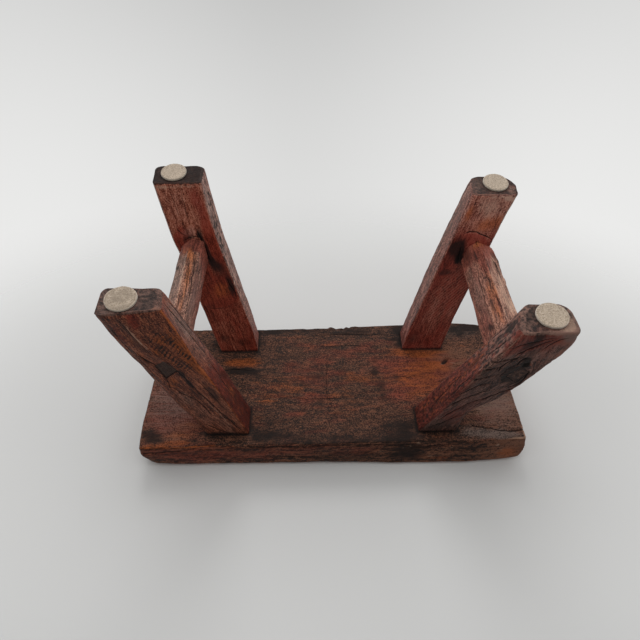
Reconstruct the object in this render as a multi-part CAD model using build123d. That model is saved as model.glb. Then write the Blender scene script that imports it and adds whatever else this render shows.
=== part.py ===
from build123d import *
import os

# Low rustic plank stool: a thick rectangular seat, four splayed rectangular
# legs tenoned through it and wedged, two end stretchers tenoned through the
# legs, and a round felt pad under each foot.
# Millimetres. +Z up, feet pads on z = 0, +X along the seat's length, origin
# at the middle of the bounding box's bottom face.

# ---- driving dimensions ----
pad_diameter = 25.4          # stick-on felt disc
pad_thickness = 2.4
leg_drop = 206.6             # height from the foot's end face to the seat's underside
seat_thickness = 42.0
seat_length = 393.5          # along X
seat_depth = 154.7           # along Y
seat_y = -1.0                # the seat's middle, off the bounding box's middle
seat_corner_radius = 13.0    # in plan
seat_top_round = 7.0         # worn round of the upper edge
seat_bottom_round = 2.5      # round of the lower edge

leg_corner_chamfer = 4.0     # the four long corners of each leg

seat_tenon_x = 29.0          # leg tenon through the seat
seat_tenon_y = 18.0
wedge_top = 4.2              # wedge thickness at the seat's top face
wedge_bottom = 0.8
wedge_depth = 27.0

foot_z = pad_thickness
underside_z = pad_thickness + leg_drop
seat_top_z = underside_z + seat_thickness

# Leg sections from the seat's underside down to the foot, hand-hewn and each
# a little different: (share of the way down, x low, x high, y low, y high).
leg_sections = {
    "front_right_leg": [
        (0.000, 87.8, 131.2, -65.6, -33.9),
        (0.319, 102.4, 153.0, -70.4, -40.6),
        (0.639, 119.5, 169.6, -75.4, -47.4),
        (1.000, 139.2, 184.2, -81.5, -55.0),
    ],
    "front_left_leg": [
        (0.000, -127.5, -86.5, -65.6, -36.2),
        (0.319, -140.5, -101.0, -78.2, -48.5),
        (0.639, -161.0, -114.5, -90.8, -60.9),
        (1.000, -171.9, -129.0, -105.0, -74.8),
    ],
    "back_right_leg": [
        (0.000, 83.0, 126.5, 41.0, 69.0),
        (0.319, 96.9, 140.2, 52.6, 80.3),
        (0.639, 111.5, 154.3, 64.2, 91.6),
        (1.000, 124.0, 168.0, 77.3, 104.4),
    ],
    "back_left_leg": [
        (0.000, -127.3, -83.0, 41.9, 67.1),
        (0.319, -138.3, -95.8, 47.1, 73.5),
        (0.639, -151.4, -109.4, 52.4, 80.0),
        (1.000, -166.2, -124.7, 58.3, 87.3),
    ],
}

# Felt pads: centre in plan, on the foot's end face, off towards the outer end.
pad_centres = {
    "front_right_pad": (168.3, -66.9),
    "front_left_pad": (-153.9, -87.4),
    "back_right_pad": (150.1, 92.3),
    "back_left_pad": (-147.8, 75.5),
}

# Stretchers: centre line from the back leg's face to the front leg's face, and
# the section across it in X and Z, a hewn bar with one ridge. The share is the
# section's size at the back end.
stretchers = {
    "right_stretcher": dict(
        back=(138.5, 65.0, 74.0), front=(148.0, -74.0, 81.0), back_share=0.96,
        body=[(13.0, -4.0), (5.5, -17.0), (-9.5, -12.5), (-13.0, 14.5), (6.0, 17.0)],
        tenon=[(7.8, -4.3), (-1.7, -13.5), (-9.0, 3.1), (2.7, 15.0)],
        legs=("back_right_leg", "front_right_leg")),
    "left_stretcher": dict(
        back=(-139.8, 55.0, 67.0), front=(-145.5, -90.0, 69.2), back_share=0.84,
        body=[(-14.5, -4.0), (-7.0, -18.0), (10.0, -13.5), (15.5, 15.0), (-6.0, 18.5)],
        tenon=[(-7.8, -4.3), (1.7, -13.5), (9.0, 3.1), (-2.7, 15.0)],
        legs=("back_left_leg", "front_left_leg")),
}


def wire_of(points):
    return Wire.make_polygon([Vector(*p) for p in points], close=True)


def ruled(lower, upper):
    return Solid.make_loft([wire_of(lower), wire_of(upper)], ruled=True)


def leg_outline(section):
    share, x0, x1, y0, y1 = section
    z = underside_z - share * leg_drop
    c = leg_corner_chamfer
    return [(x0 + c, y0, z), (x1 - c, y0, z), (x1, y0 + c, z), (x1, y1 - c, z),
            (x1 - c, y1, z), (x0 + c, y1, z), (x0, y1 - c, z), (x0, y0 + c, z)]


def box_outline(cx, cy, z, dx, dy):
    return [(cx - dx / 2, cy - dy / 2, z), (cx + dx / 2, cy - dy / 2, z),
            (cx + dx / 2, cy + dy / 2, z), (cx - dx / 2, cy + dy / 2, z)]


# ---- leg shafts and their seat tenons ----
shafts, tenons, slots = {}, {}, {}
for name, sections in leg_sections.items():
    pieces = [ruled(leg_outline(b), leg_outline(a)) for a, b in zip(sections, sections[1:])]
    shaft = pieces[0]
    for piece in pieces[1:]:
        shaft = shaft + piece
    shafts[name] = shaft
    root, foot = sections[0], sections[-1]
    rx, ry = (root[1] + root[2]) / 2, (root[3] + root[4]) / 2
    fx, fy = (foot[1] + foot[2]) / 2, (foot[3] + foot[4]) / 2
    sx, sy = (rx - fx) / leg_drop, (ry - fy) / leg_drop     # lean per mm of height

    def axis_point(z, rx=rx, ry=ry, sx=sx, sy=sy):
        return rx + sx * (z - underside_z), ry + sy * (z - underside_z)

    tx, ty = axis_point(seat_top_z)
    tenons[name] = ruled(box_outline(rx, ry, underside_z, seat_tenon_x, seat_tenon_y),
                         box_outline(tx, ty, seat_top_z, seat_tenon_x, seat_tenon_y))
    wx, wy = axis_point(seat_top_z - wedge_depth)
    slots[name] = ruled(box_outline(wx, wy, seat_top_z - wedge_depth, wedge_bottom, seat_tenon_y),
                        box_outline(tx, ty, seat_top_z, wedge_top, seat_tenon_y))

# ---- stretchers: hewn body between the legs, tenon through each leg ----
parts = {}
through = {name: [] for name in leg_sections}
for name, s in stretchers.items():
    back, front = Vector(*s["back"]), Vector(*s["front"])
    run = back - front

    def section(points, t, share):
        c = front + run * t
        return [(c.X + share * x, c.Y, c.Z + share * z) for x, z in points]

    t0, t1 = -0.09, 1.09
    share = lambda t: 1.0 + (s["back_share"] - 1.0) * t
    body = ruled(section(s["body"], t0, share(t0)), section(s["body"], t1, share(t1)))
    rod = ruled(section(s["tenon"], -0.45, 1.0), section(s["tenon"], 1.45, 1.0))
    solid = body - shafts[s["legs"][0]] - shafts[s["legs"][1]]
    solid = max(solid.solids(), key=lambda v: v.volume)
    for leg in s["legs"]:
        tongue = max((rod & shafts[leg]).solids(), key=lambda v: v.volume)
        through[leg].append(tongue)
        solid = solid + tongue
    parts[name] = solid

# ---- legs ----
for name in leg_sections:
    leg = shafts[name] + (tenons[name] - slots[name])
    for tongue in through[name]:
        leg = leg - tongue
    parts[name] = leg

# ---- wedges that spread the tenons in the seat ----
for name, slot in slots.items():
    parts[name.replace("_leg", "_wedge")] = slot

# ---- seat plank with its four slanted through mortises ----
seat = Solid.make_box(seat_length, seat_depth, seat_thickness).moved(
    Location((-seat_length / 2, seat_y - seat_depth / 2, underside_z)))
seat = Part(seat.wrapped)
seat = fillet(seat.edges().filter_by(Axis.Z), seat_corner_radius)
seat = fillet(seat.edges().group_by(Axis.Z)[-1], seat_top_round)
seat = fillet(seat.edges().group_by(Axis.Z)[0], seat_bottom_round)
for name in leg_sections:
    seat = seat - tenons[name]
parts["seat"] = seat

# ---- felt pads ----
for name, (x, y) in pad_centres.items():
    parts[name] = Solid.make_cylinder(pad_diameter / 2, pad_thickness).moved(Location((x, y, 0)))

os.makedirs("parts", exist_ok=True)
for name, shape in parts.items():
    solids = shape.solids()
    out = solids[0] if len(solids) == 1 else Compound(children=list(solids))
    out.label = name
    export_step(out, "parts/" + name + ".step")
    box = out.bounding_box()
    print(name, len(solids), "solids", round(out.volume / 1000, 2), "cm3",
          "x", round(box.min.X, 2), round(box.max.X, 2),
          "y", round(box.min.Y, 2), round(box.max.Y, 2),
          "z", round(box.min.Z, 2), round(box.max.Z, 2))
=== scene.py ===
import bpy, bmesh, math
import numpy as np
from mathutils import Matrix, Vector
from mathutils.bvhtree import BVHTree
from mathutils.kdtree import KDTree


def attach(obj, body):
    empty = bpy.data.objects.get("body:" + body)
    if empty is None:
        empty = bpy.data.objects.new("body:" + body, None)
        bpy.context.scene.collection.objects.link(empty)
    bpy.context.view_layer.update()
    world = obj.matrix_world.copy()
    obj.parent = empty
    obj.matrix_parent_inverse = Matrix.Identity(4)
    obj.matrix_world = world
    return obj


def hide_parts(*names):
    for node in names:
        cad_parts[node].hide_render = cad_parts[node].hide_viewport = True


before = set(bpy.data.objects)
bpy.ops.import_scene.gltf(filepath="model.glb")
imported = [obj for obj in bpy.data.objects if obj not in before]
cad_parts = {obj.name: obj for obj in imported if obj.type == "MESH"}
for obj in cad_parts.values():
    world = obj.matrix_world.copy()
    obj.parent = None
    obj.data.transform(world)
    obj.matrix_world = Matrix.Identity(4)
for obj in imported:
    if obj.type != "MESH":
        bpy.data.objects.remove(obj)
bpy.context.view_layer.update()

# The stool is kept upright, feet on z = 0. Its surfaces are worked out lying on
# the seat's upper face, in millimetres: x runs the other way, z = 0 is the
# seat's upper face, 42 its underside and 248.6 the leg ends. upright() turns
# them over, which is a half turn about the Y axis.
SEAT_T = 42.0
END_Z = 248.6
DROP = END_Z - SEAT_T


def upright(p):
    p = np.asarray(p, float)
    return np.stack([-p[..., 0], p[..., 1] - 1.0, 251.0 - p[..., 2]], -1) / 1000.0


# ------------------------------------------------------------------ numbers
class Perlin:
    def __init__(self, seed):
        r = np.random.RandomState(seed)
        self.p = np.tile(r.permutation(256), 2).astype(np.int64)
        g = r.normal(size=(256, 3))
        self.g = g / np.linalg.norm(g, axis=1, keepdims=True)

    def __call__(self, q, scale=(1, 1, 1)):
        q = np.asarray(q, float) / np.asarray(scale, float)
        i = np.floor(q).astype(np.int64)
        f = q - i
        i &= 255
        u = f * f * f * (f * (f * 6 - 15) + 10)
        out = np.zeros(len(q))
        for dx in (0, 1):
            wx = u[:, 0] if dx else 1 - u[:, 0]
            a = self.p[(i[:, 0] + dx) & 255]
            for dy in (0, 1):
                wy = u[:, 1] if dy else 1 - u[:, 1]
                b = self.p[a + ((i[:, 1] + dy) & 255)]
                for dz in (0, 1):
                    wz = u[:, 2] if dz else 1 - u[:, 2]
                    g = self.g[self.p[b + ((i[:, 2] + dz) & 255)]]
                    d = f - np.array([dx, dy, dz])
                    out += wx * wy * wz * (g * d).sum(1)
        return out * 1.7

    def fbm(self, q, scale=(1, 1, 1), octaves=3, gain=0.5):
        q = np.asarray(q, float) / np.asarray(scale, float)
        total, amp, norm = np.zeros(len(q)), 1.0, 0.0
        for k in range(octaves):
            total += amp * self(q * 2.03 ** k + 11.3 * k)
            norm += amp
            amp *= gain
        return total / norm


NA, NB, NC = Perlin(5), Perlin(23), Perlin(71)


def sm(x, lo, hi):
    t = np.clip((np.asarray(x, float) - lo) / (hi - lo), 0, 1)
    return t * t * (3 - 2 * t)


def blob(x, y, cx, cy, ax, ay, deg=0.0, soft=0.5):
    c, s = math.cos(math.radians(deg)), math.sin(math.radians(deg))
    u = ((x - cx) * c + (y - cy) * s) / ax
    v = (-(x - cx) * s + (y - cy) * c) / ay
    return 1 - sm(np.hypot(u, v), 1 - soft, 1 + soft)


def hermite(z, zk, vk):
    z, zk, vk = np.asarray(z, float), np.asarray(zk, float), np.asarray(vk, float)
    if len(zk) == 1:
        return np.full(z.shape, vk[0])
    sec = np.diff(vk) / np.diff(zk)          # slopes kept monotone, so that nothing overshoots
    m = np.concatenate([[sec[0]], np.zeros(len(zk) - 2), [sec[-1]]])
    for k in range(1, len(zk) - 1):
        if sec[k - 1] * sec[k] > 0:
            wa, wb = 2 * (zk[k + 1] - zk[k]) + zk[k] - zk[k - 1], zk[k + 1] - zk[k] + 2 * (zk[k] - zk[k - 1])
            m[k] = (wa + wb) / (wa / sec[k - 1] + wb / sec[k])
    i = np.clip(np.searchsorted(zk, z) - 1, 0, len(zk) - 2)
    h = zk[i + 1] - zk[i]
    t = np.clip((z - zk[i]) / h, 0, 1)
    t2, t3 = t * t, t * t * t
    return ((2 * t3 - 3 * t2 + 1) * vk[i] + (t3 - 2 * t2 + t) * h * m[i]
            + (-2 * t3 + 3 * t2) * vk[i + 1] + (t3 - t2) * h * m[i + 1])


def wiggle(pts, step, amp, seed):
    """A hand-drawn line: the polyline cut into short runs that wander a little."""
    pts = np.asarray(pts, float)
    out = [pts[0]]
    for a, b in zip(pts[:-1], pts[1:]):
        n = max(1, int(round(np.linalg.norm(b - a) / step)))
        out += [a + (b - a) * k / n for k in range(1, n + 1)]
    out = np.array(out)
    r = np.random.RandomState(seed).normal(size=(len(out), 2)) * amp
    r[0] = r[-1] = 0
    out[1:-1] = out[1:-1] + r[1:-1]
    return out


def lines(x, y, cracks, on=None):
    """Signed distance to the nearest line and its half width there, -1 away from every line.
    cracks: (points, half width, taper share at the two ends)."""
    best = np.full(len(x), 1e9)
    f, w = np.full(len(x), 9.0), np.full(len(x), -1.0)
    for pts, wide, taper in cracks:
        pts = np.asarray(pts, float)
        seg = np.linalg.norm(np.diff(pts, axis=0), axis=1)
        total, done = seg.sum(), 0.0
        near = np.where((x > pts[:, 0].min() - 6) & (x < pts[:, 0].max() + 6)
                        & (y > pts[:, 1].min() - 6) & (y < pts[:, 1].max() + 6))[0]
        xs, ys = x[near], y[near]
        for a, b, ln in zip(pts[:-1], pts[1:], seg):
            d = b - a
            t = np.clip(((xs - a[0]) * d[0] + (ys - a[1]) * d[1]) / max(ln * ln, 1e-9), 0, 1)
            dist = np.hypot(xs - a[0] - t * d[0], ys - a[1] - t * d[1])
            side = np.where(d[0] * (ys - a[1]) - d[1] * (xs - a[0]) >= 0, 1.0, -1.0)
            s = (done + t * ln) / total
            ww = wide * np.minimum(1.0, np.minimum(s / taper[0] if taper[0] else 1.0 + s, (1 - s) / taper[1] if taper[1] else 2.0 - s))
            ww = ww - np.maximum(0.0, dist - 2.4) * 1.5
            better = dist < best[near]
            k = near[better]
            best[k], f[k], w[k] = dist[better], (side * dist)[better], ww[better]
            done += ln
    w = np.clip(w, -1.0, None)
    if on is not None:
        w = np.where(on > 0.5, w, -1.0)
    return f, w


# ------------------------------------------------------------------- meshes
def tube_faces(rings, n):
    """Quads joining rings of n points each, and a fan at both ends; the two middle points come last."""
    i = np.arange(n)
    quads = []
    for j in range(rings - 1):
        a, b = j * n, (j + 1) * n
        quads.append(np.stack([a + i, a + (i + 1) % n, b + (i + 1) % n, b + i], 1))
    faces = [tuple(q) for q in np.concatenate(quads).tolist()]
    lo, hi = rings * n, rings * n + 1
    faces += [(lo, (k + 1) % n, k) for k in range(n)]
    base = (rings - 1) * n
    faces += [(hi, base + k, base + (k + 1) % n) for k in range(n)]
    return faces


def mesh_from(name, co, faces):
    me = bpy.data.meshes.new(name)
    me.from_pydata([tuple(p) for p in np.asarray(co, float).tolist()], [], faces)
    me.update()
    return me


def normals_of(co, faces):
    me = mesh_from("tmp_normals", co, faces)
    n = np.zeros(len(co) * 3, np.float32)
    me.vertices.foreach_get("normal", n)
    bpy.data.meshes.remove(me)
    return n.reshape(-1, 3).astype(float)


def add(name, me):
    ob = bpy.data.objects.new(name, me)
    bpy.context.scene.collection.objects.link(ob)
    return ob


def prism(name, a, b):
    """A closed prism between two like polygons, as a cutter (millimetres, lying on the seat)."""
    n = len(a)
    co = upright(np.concatenate([np.asarray(a, float), np.asarray(b, float)]))
    faces = [tuple(reversed(range(n))), tuple(range(n, 2 * n))]
    faces += [(i, (i + 1) % n, n + (i + 1) % n, n + i) for i in range(n)]
    me = mesh_from(name, co, faces)
    bm = bmesh.new(); bm.from_mesh(me)
    bmesh.ops.recalc_face_normals(bm, faces=bm.faces)
    bm.to_mesh(me); bm.free()
    return add(name, me)


def finish_mesh(name, co, faces, cutters, attrs, angle=38.0, node=None):
    """Stands the piece up, cuts its mortises, and gives it its surface attributes."""
    world = upright(co)
    me = mesh_from(name, world, faces)
    bm = bmesh.new(); bm.from_mesh(me)
    bmesh.ops.recalc_face_normals(bm, faces=bm.faces)
    bm.to_mesh(me); bm.free()
    ob = add(name, me)
    if cutters:
        for c in cutters:
            m = ob.modifiers.new("mortise", "BOOLEAN")
            m.operation, m.solver, m.object = "DIFFERENCE", "EXACT", c
        dg = bpy.context.evaluated_depsgraph_get()
        cut = bpy.data.meshes.new_from_object(ob.evaluated_get(dg))
        ob.modifiers.clear()
        ob.data = cut
        cut.name = name
        bpy.data.meshes.remove(me)
        me = cut
        tree = KDTree(len(world))
        for i, p in enumerate(world):
            tree.insert(p, i)
        tree.balance()
        take = np.array([tree.find(v.co)[1] for v in me.vertices])
    else:
        take = np.arange(len(world))
    for key, val in attrs.items():
        val = np.asarray(val, np.float32)[take]
        if val.ndim == 1:
            a = me.attributes.new(key, "FLOAT", "POINT")
            a.data.foreach_set("value", val)
        else:
            a = me.attributes.new(key, "FLOAT_VECTOR", "POINT")
            a.data.foreach_set("vector", val.ravel())
    me.shade_smooth()
    me.set_sharp_from_angle(angle=math.radians(angle))
    me.update()
    return ob


# --------------------------------------------------------- section of a bar
def section(corners, ta, tb, kk, sides, arcs):
    """Rings of a bar: corners (R, m, 2) in order, with the cut along the side before (ta) and after (tb)
    each corner and its fullness kk (1 round, 0 flat chamfer). Returns (R, n, 2), the side of each point
    (fraction across the corner included) and how near each point is to a corner."""
    R, m, _ = corners.shape
    prev, nxt = np.roll(corners, 1, 1), np.roll(corners, -1, 1)
    ep = prev - corners; lp = np.linalg.norm(ep, axis=2, keepdims=True); ep /= lp
    en = nxt - corners; ln = np.linalg.norm(en, axis=2, keepdims=True); en /= ln
    A = corners + ep * ta[..., None]
    B = corners + en * tb[..., None]
    Q = (A + B) / 2 * (1 - kk[..., None]) + corners * kk[..., None]
    pts, side, corner = [], [], []
    for i in range(m):
        for k in range(arcs[i]):
            t = k / arcs[i]
            pts.append((1 - t) ** 2 * A[:, i] + 2 * (1 - t) * t * Q[:, i] + t * t * B[:, i])
            side.append((i - 0.5 + t * 0.5 - 0.25 + 0.25) if False else (i - 1 + t))
            corner.append((i, abs(t - 0.5) * 2 * arcs[i] * 0.5))
        j = (i + 1) % m
        for k in range(sides[i]):
            t = k / sides[i]
            pts.append(B[:, i] * (1 - t) + A[:, j] * t)
            side.append(float(i))
            near = min((k, i), (sides[i] - k, j))
            corner.append((near[1], near[0] + arcs[near[1]] * 0.5))
    return np.stack(pts, 1), np.array(side), corner


def side_weights(side, m):
    """(n, m) share of each side at every ring point."""
    out = np.zeros((len(side), m))
    for k, s in enumerate(side):
        a = math.floor(s)
        f = s - a
        out[k, a % m] += 1 - f
        out[k, (a + 1) % m] += f
    return out


# ------------------------------------------------------------------- camera
def make_camera():
    pitch, yaw, roll = 0.865027, 0.047456, 0.026815
    cy, sy, cp, sp = math.cos(yaw), math.sin(yaw), math.cos(pitch), math.sin(pitch)
    cr, sr = math.cos(roll), math.sin(roll)
    fwd = Vector((sy * cp, cy * cp, -sp))
    right = Vector((cy, -sy, 0))
    up = right.cross(fwd)
    r, u = cr * right + sr * up, -sr * right + cr * up
    turn = lambda v: Vector((-v.x, v.y, -v.z))
    R, U, B = turn(r), turn(u), turn(-fwd)
    cam = bpy.data.cameras.new("camera")
    ob = bpy.data.objects.new("camera", cam)
    bpy.context.scene.collection.objects.link(ob)
    ob.matrix_world = Matrix(((R.x, U.x, B.x, 0.03236), (R.y, U.y, B.y, -0.36602), (R.z, U.z, B.z, -0.32355), (0, 0, 0, 1)))
    cam.sensor_width = 36
    cam.lens = 582.518 / 640 * 36
    cam.clip_start, cam.clip_end = 0.01, 50
    bpy.context.scene.camera = ob


make_camera()
bpy.context.scene.view_settings.view_transform = "Standard"
bpy.context.scene.view_settings.look = "None"


# ---------------------------------------------------------------- materials
class Tree:
    """Small helper that lays out shader nodes."""

    def __init__(self, name):
        self.mat = bpy.data.materials.new(name)
        self.mat.use_nodes = True
        self.nt = self.mat.node_tree
        self.bsdf = self.nt.nodes["Principled BSDF"]

    def put(self, socket, value):
        if isinstance(value, bpy.types.NodeSocket):
            self.nt.links.new(value, socket)
        elif value is not None:
            socket.default_value = value

    def math(self, op, a, b=None, c=None, clamp=False):
        n = self.nt.nodes.new("ShaderNodeMath")
        n.operation, n.use_clamp = op, clamp
        for s, v in zip(n.inputs, (a, b, c)):
            self.put(s, v)
        return n.outputs[0]

    def add(self, a, b, clamp=False): return self.math("ADD", a, b, clamp=clamp)
    def sub(self, a, b): return self.math("SUBTRACT", a, b)
    def mul(self, a, b, clamp=False): return self.math("MULTIPLY", a, b, clamp=clamp)

    def vmul(self, v, k):
        n = self.nt.nodes.new("ShaderNodeVectorMath")
        n.operation = "MULTIPLY"
        self.put(n.inputs[0], v); n.inputs[1].default_value = k
        return n.outputs[0]

    def vadd(self, a, b):
        n = self.nt.nodes.new("ShaderNodeVectorMath")
        n.operation = "ADD"
        self.put(n.inputs[0], a); self.put(n.inputs[1], b)
        return n.outputs[0]

    def split(self, v):
        n = self.nt.nodes.new("ShaderNodeSeparateXYZ")
        self.put(n.inputs[0], v)
        return n.outputs

    def join(self, x, y, z):
        n = self.nt.nodes.new("ShaderNodeCombineXYZ")
        for s, v in zip(n.inputs, (x, y, z)):
            self.put(s, v)
        return n.outputs[0]

    def attr(self, name):
        n = self.nt.nodes.new("ShaderNodeAttribute")
        n.attribute_name = name
        return n.outputs["Vector"]

    def fac(self, name):
        n = self.nt.nodes.new("ShaderNodeAttribute")
        n.attribute_name = name
        return n.outputs["Fac"]

    def noise(self, v, scale=1.0, detail=3.0, rough=0.5, dist=0.0, colour=False):
        n = self.nt.nodes.new("ShaderNodeTexNoise")
        self.put(n.inputs["Vector"], v)
        n.inputs["Scale"].default_value = scale
        n.inputs["Detail"].default_value = detail
        n.inputs["Roughness"].default_value = rough
        n.inputs["Distortion"].default_value = dist
        return n.outputs["Color" if colour else "Fac"]

    def voronoi(self, v, scale=1.0, feature="F1", jitter=1.0):
        n = self.nt.nodes.new("ShaderNodeTexVoronoi")
        n.feature = feature
        self.put(n.inputs["Vector"], v)
        n.inputs["Scale"].default_value = scale
        n.inputs["Randomness"].default_value = jitter
        return n.outputs["Distance"]

    def step(self, x, lo, hi, to_lo=0.0, to_hi=1.0):
        n = self.nt.nodes.new("ShaderNodeMapRange")
        n.interpolation_type = "SMOOTHSTEP"
        self.put(n.inputs["Value"], x)
        for key, v in (("From Min", lo), ("From Max", hi), ("To Min", to_lo), ("To Max", to_hi)):
            self.put(n.inputs[key], v)
        return n.outputs["Result"]

    def mix(self, fac, a, b, kind="MIX"):
        n = self.nt.nodes.new("ShaderNodeMix")
        n.data_type, n.blend_type, n.clamp_factor = "RGBA", kind, True
        self.put(n.inputs[0], fac)
        ins = [s for s in n.inputs if s.type == "RGBA"]
        for s, v in zip(ins, (a, b)):
            self.put(s, v if isinstance(v, bpy.types.NodeSocket) else (*v, 1.0))
        return [s for s in n.outputs if s.type == "RGBA"][0]

    def ramp(self, fac, stops):
        n = self.nt.nodes.new("ShaderNodeValToRGB")
        self.put(n.inputs[0], fac)
        cr = n.color_ramp
        while len(cr.elements) < len(stops):
            cr.elements.new(0.5)
        for e, (p, c) in zip(cr.elements, stops):
            e.position, e.color = p, (*c, 1.0)
        return n.outputs["Color"]

    def bump(self, height, strength, distance, normal=None):
        n = self.nt.nodes.new("ShaderNodeBump")
        n.inputs["Strength"].default_value = strength
        n.inputs["Distance"].default_value = distance
        self.put(n.inputs["Height"], height)
        if normal is not None:
            self.put(n.inputs["Normal"], normal)
        return n.outputs["Normal"]


def srgb(r, g, b):
    f = lambda c: c / 12.92 if c <= 0.04045 else ((c + 0.055) / 1.055) ** 2.4
    return tuple(f(c / 255.0) for c in (r, g, b))


def wood(name, tones, red, warm, grey, stain_and_shade, worn, offset=(0, 0, 0), red_amount=0.5, rough=(0.42, 0.74), ring=(3.1, -60.0, 38.0),
         contrast=1.8, streak=1.0, mottle=0.6, speck=0.6, fleck=0.5, bump=0.55, spec=0.4, saw=None, end=(64, 54, 49)):
    """Old waxed hardwood. Surface attributes on the mesh: gr (grain coordinates in mm: along, across, across),
    ma (dark, in places painted shade, warm, grey), mb (edge wear, in two places a painted highlight, grime and
    painted shade in corners and joints, red), ck (line offset, line half width, end grain), lf (lighter
    or darker), cm (how much the long streaks are quietened)."""
    t = Tree(name)
    raw = t.attr("gr")
    ma, mb, ck = t.split(t.attr("ma")), t.split(t.attr("mb")), t.split(t.attr("ck"))
    off = t.nt.nodes.new("ShaderNodeVectorMath"); off.operation = "ADD"
    t.put(off.inputs[0], raw); off.inputs[1].default_value = offset
    gr = off.outputs[0]
    # grain wanders a little
    w1 = t.noise(t.vmul(gr, (0.016, 0.045, 0.045)), 1.0, 2.0, 0.5, 0.0, True)
    centred = t.nt.nodes.new("ShaderNodeVectorMath"); centred.operation = "MULTIPLY_ADD"
    t.put(centred.inputs[0], w1); centred.inputs[1].default_value = (0.0, 7.0, 7.0); centred.inputs[2].default_value = (0.0, -3.5, -3.5)
    g = t.vadd(gr, centred.outputs[0])
    A = t.noise(t.vmul(g, (0.018, 0.40, 0.40)), 1.0, 4.0, 0.62)            # streaks
    B = t.noise(t.vmul(g, (0.055, 1.25, 1.25)), 1.0, 3.0, 0.60)            # fibre
    G = t.noise(t.vmul(g, (0.22, 2.70, 2.70)), 1.0, 2.0, 0.60)             # fine fibre
    C = t.noise(t.vmul(gr, (0.022, 0.050, 0.050)), 1.0, 3.0, 0.55, 0.1)    # large patches
    D = t.noise(t.vmul(gr, (0.085, 0.20, 0.20)), 1.0, 3.0, 0.58, 0.1)      # mottling
    E = t.noise(t.vmul(g, (0.26, 0.90, 0.90)), 1.0, 3.0, 0.7)              # flecks
    F = t.noise(t.vmul(gr, (0.70, 0.92, 0.92)), 1.0, 3.0, 0.80)            # speckle
    c = lambda x, k: t.mul(t.sub(x, 0.5), k)
    # growth rings
    sg = t.split(g)
    dx, dy = t.sub(sg[1], ring[1]), t.sub(sg[2], ring[2])
    rad = t.math("SQRT", t.add(t.mul(dx, dx), t.mul(dy, dy)))
    rings = t.math("SINE", t.add(t.mul(rad, 6.283 / ring[0]), t.mul(A, 9.0)))
    quiet = t.math("MULTIPLY_ADD", t.fac("cm"), -0.80, 1.0)
    cA, cB = t.mul(c(A, 1.0), quiet), t.mul(c(B, 1.0), t.math("MULTIPLY_ADD", t.fac("cm"), -0.45, 1.0))
    v = t.add(t.mul(cA, 0.50 * streak), t.mul(cB, 0.55 * streak))
    v = t.add(v, t.add(c(G, 0.34), c(D, 0.75 * mottle)))
    v = t.add(v, t.add(c(E, 0.85 * mottle), c(F, 1.00 * speck)))
    v = t.math("MULTIPLY_ADD", v, contrast, 0.5)
    v = t.add(v, t.fac("lf"))
    v = t.add(v, t.mul(rings, 0.035 * streak))
    col = t.ramp(v, [(0.16, tones[0]), (0.40, tones[1]), (0.60, tones[2]), (0.86, tones[3])])
    redm = t.step(t.add(t.add(t.mul(C, 0.9), t.mul(D, 0.35)), mb[2]), 0.95 - 0.55 * red_amount, 1.45 - 0.55 * red_amount)
    col = t.mix(t.mul(redm, 0.85), col, t.mix(t.step(v, 0.20, 0.85), tuple(k * 0.35 for k in red), tuple(min(1, k * 1.25) for k in red)))
    # warm wood laid bare
    wm = t.step(t.add(ma[1], t.add(t.mul(cA, 1.1), t.add(t.mul(cB, 0.5), t.add(c(D, 0.6), c(F, 0.5))))), 0.18, 0.98)
    col = t.mix(t.mul(wm, 0.85), col, t.mix(t.step(v, 0.22, 0.80), tuple(k * 0.30 for k in warm), warm))
    # weathered grey
    gm = t.step(t.add(ma[2], t.add(t.mul(cB, 0.8), t.add(t.mul(cA, 0.6), t.add(c(D, 0.3), c(F, 0.4))))), 0.14, 0.94)
    col = t.mix(t.mul(gm, 0.85), col, t.mix(t.step(v, 0.22, 0.80), tuple(k * 0.32 for k in grey), tuple(min(1, k * 1.1) for k in grey)))
    # worn arrises, and the painted highlights that share their mask
    em = t.step(t.add(mb[0], t.add(t.mul(cA, 1.0), t.add(t.mul(cB, 0.8), c(F, 0.9)))), 0.32, 1.12)
    col = t.mix(t.mul(em, 0.75), col, worn)
    # stains, and the painted shade that the dark mask also carries
    dm = t.step(t.add(ma[0], t.add(c(D, 0.9), t.add(t.mul(cA, 0.6), c(F, 0.9)))), 0.26, 1.0)
    col = t.mix(t.mul(dm, 0.90), col, stain_and_shade)
    # flecks and open pores
    fl = t.step(t.add(t.mul(E, 0.6), t.mul(F, 0.4)), 0.56, 0.65)
    col = t.mix(t.mul(fl, fleck), col, tuple(k * 0.7 for k in stain_and_shade))
    pore = t.step(t.add(t.mul(G, 0.6), t.mul(B, 0.4)), 0.41, 0.33)
    col = t.mix(t.mul(pore, t.math("MULTIPLY_ADD", t.fac("cm"), -0.48, 0.6)), col, tuple(k * 0.8 for k in stain_and_shade))
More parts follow.
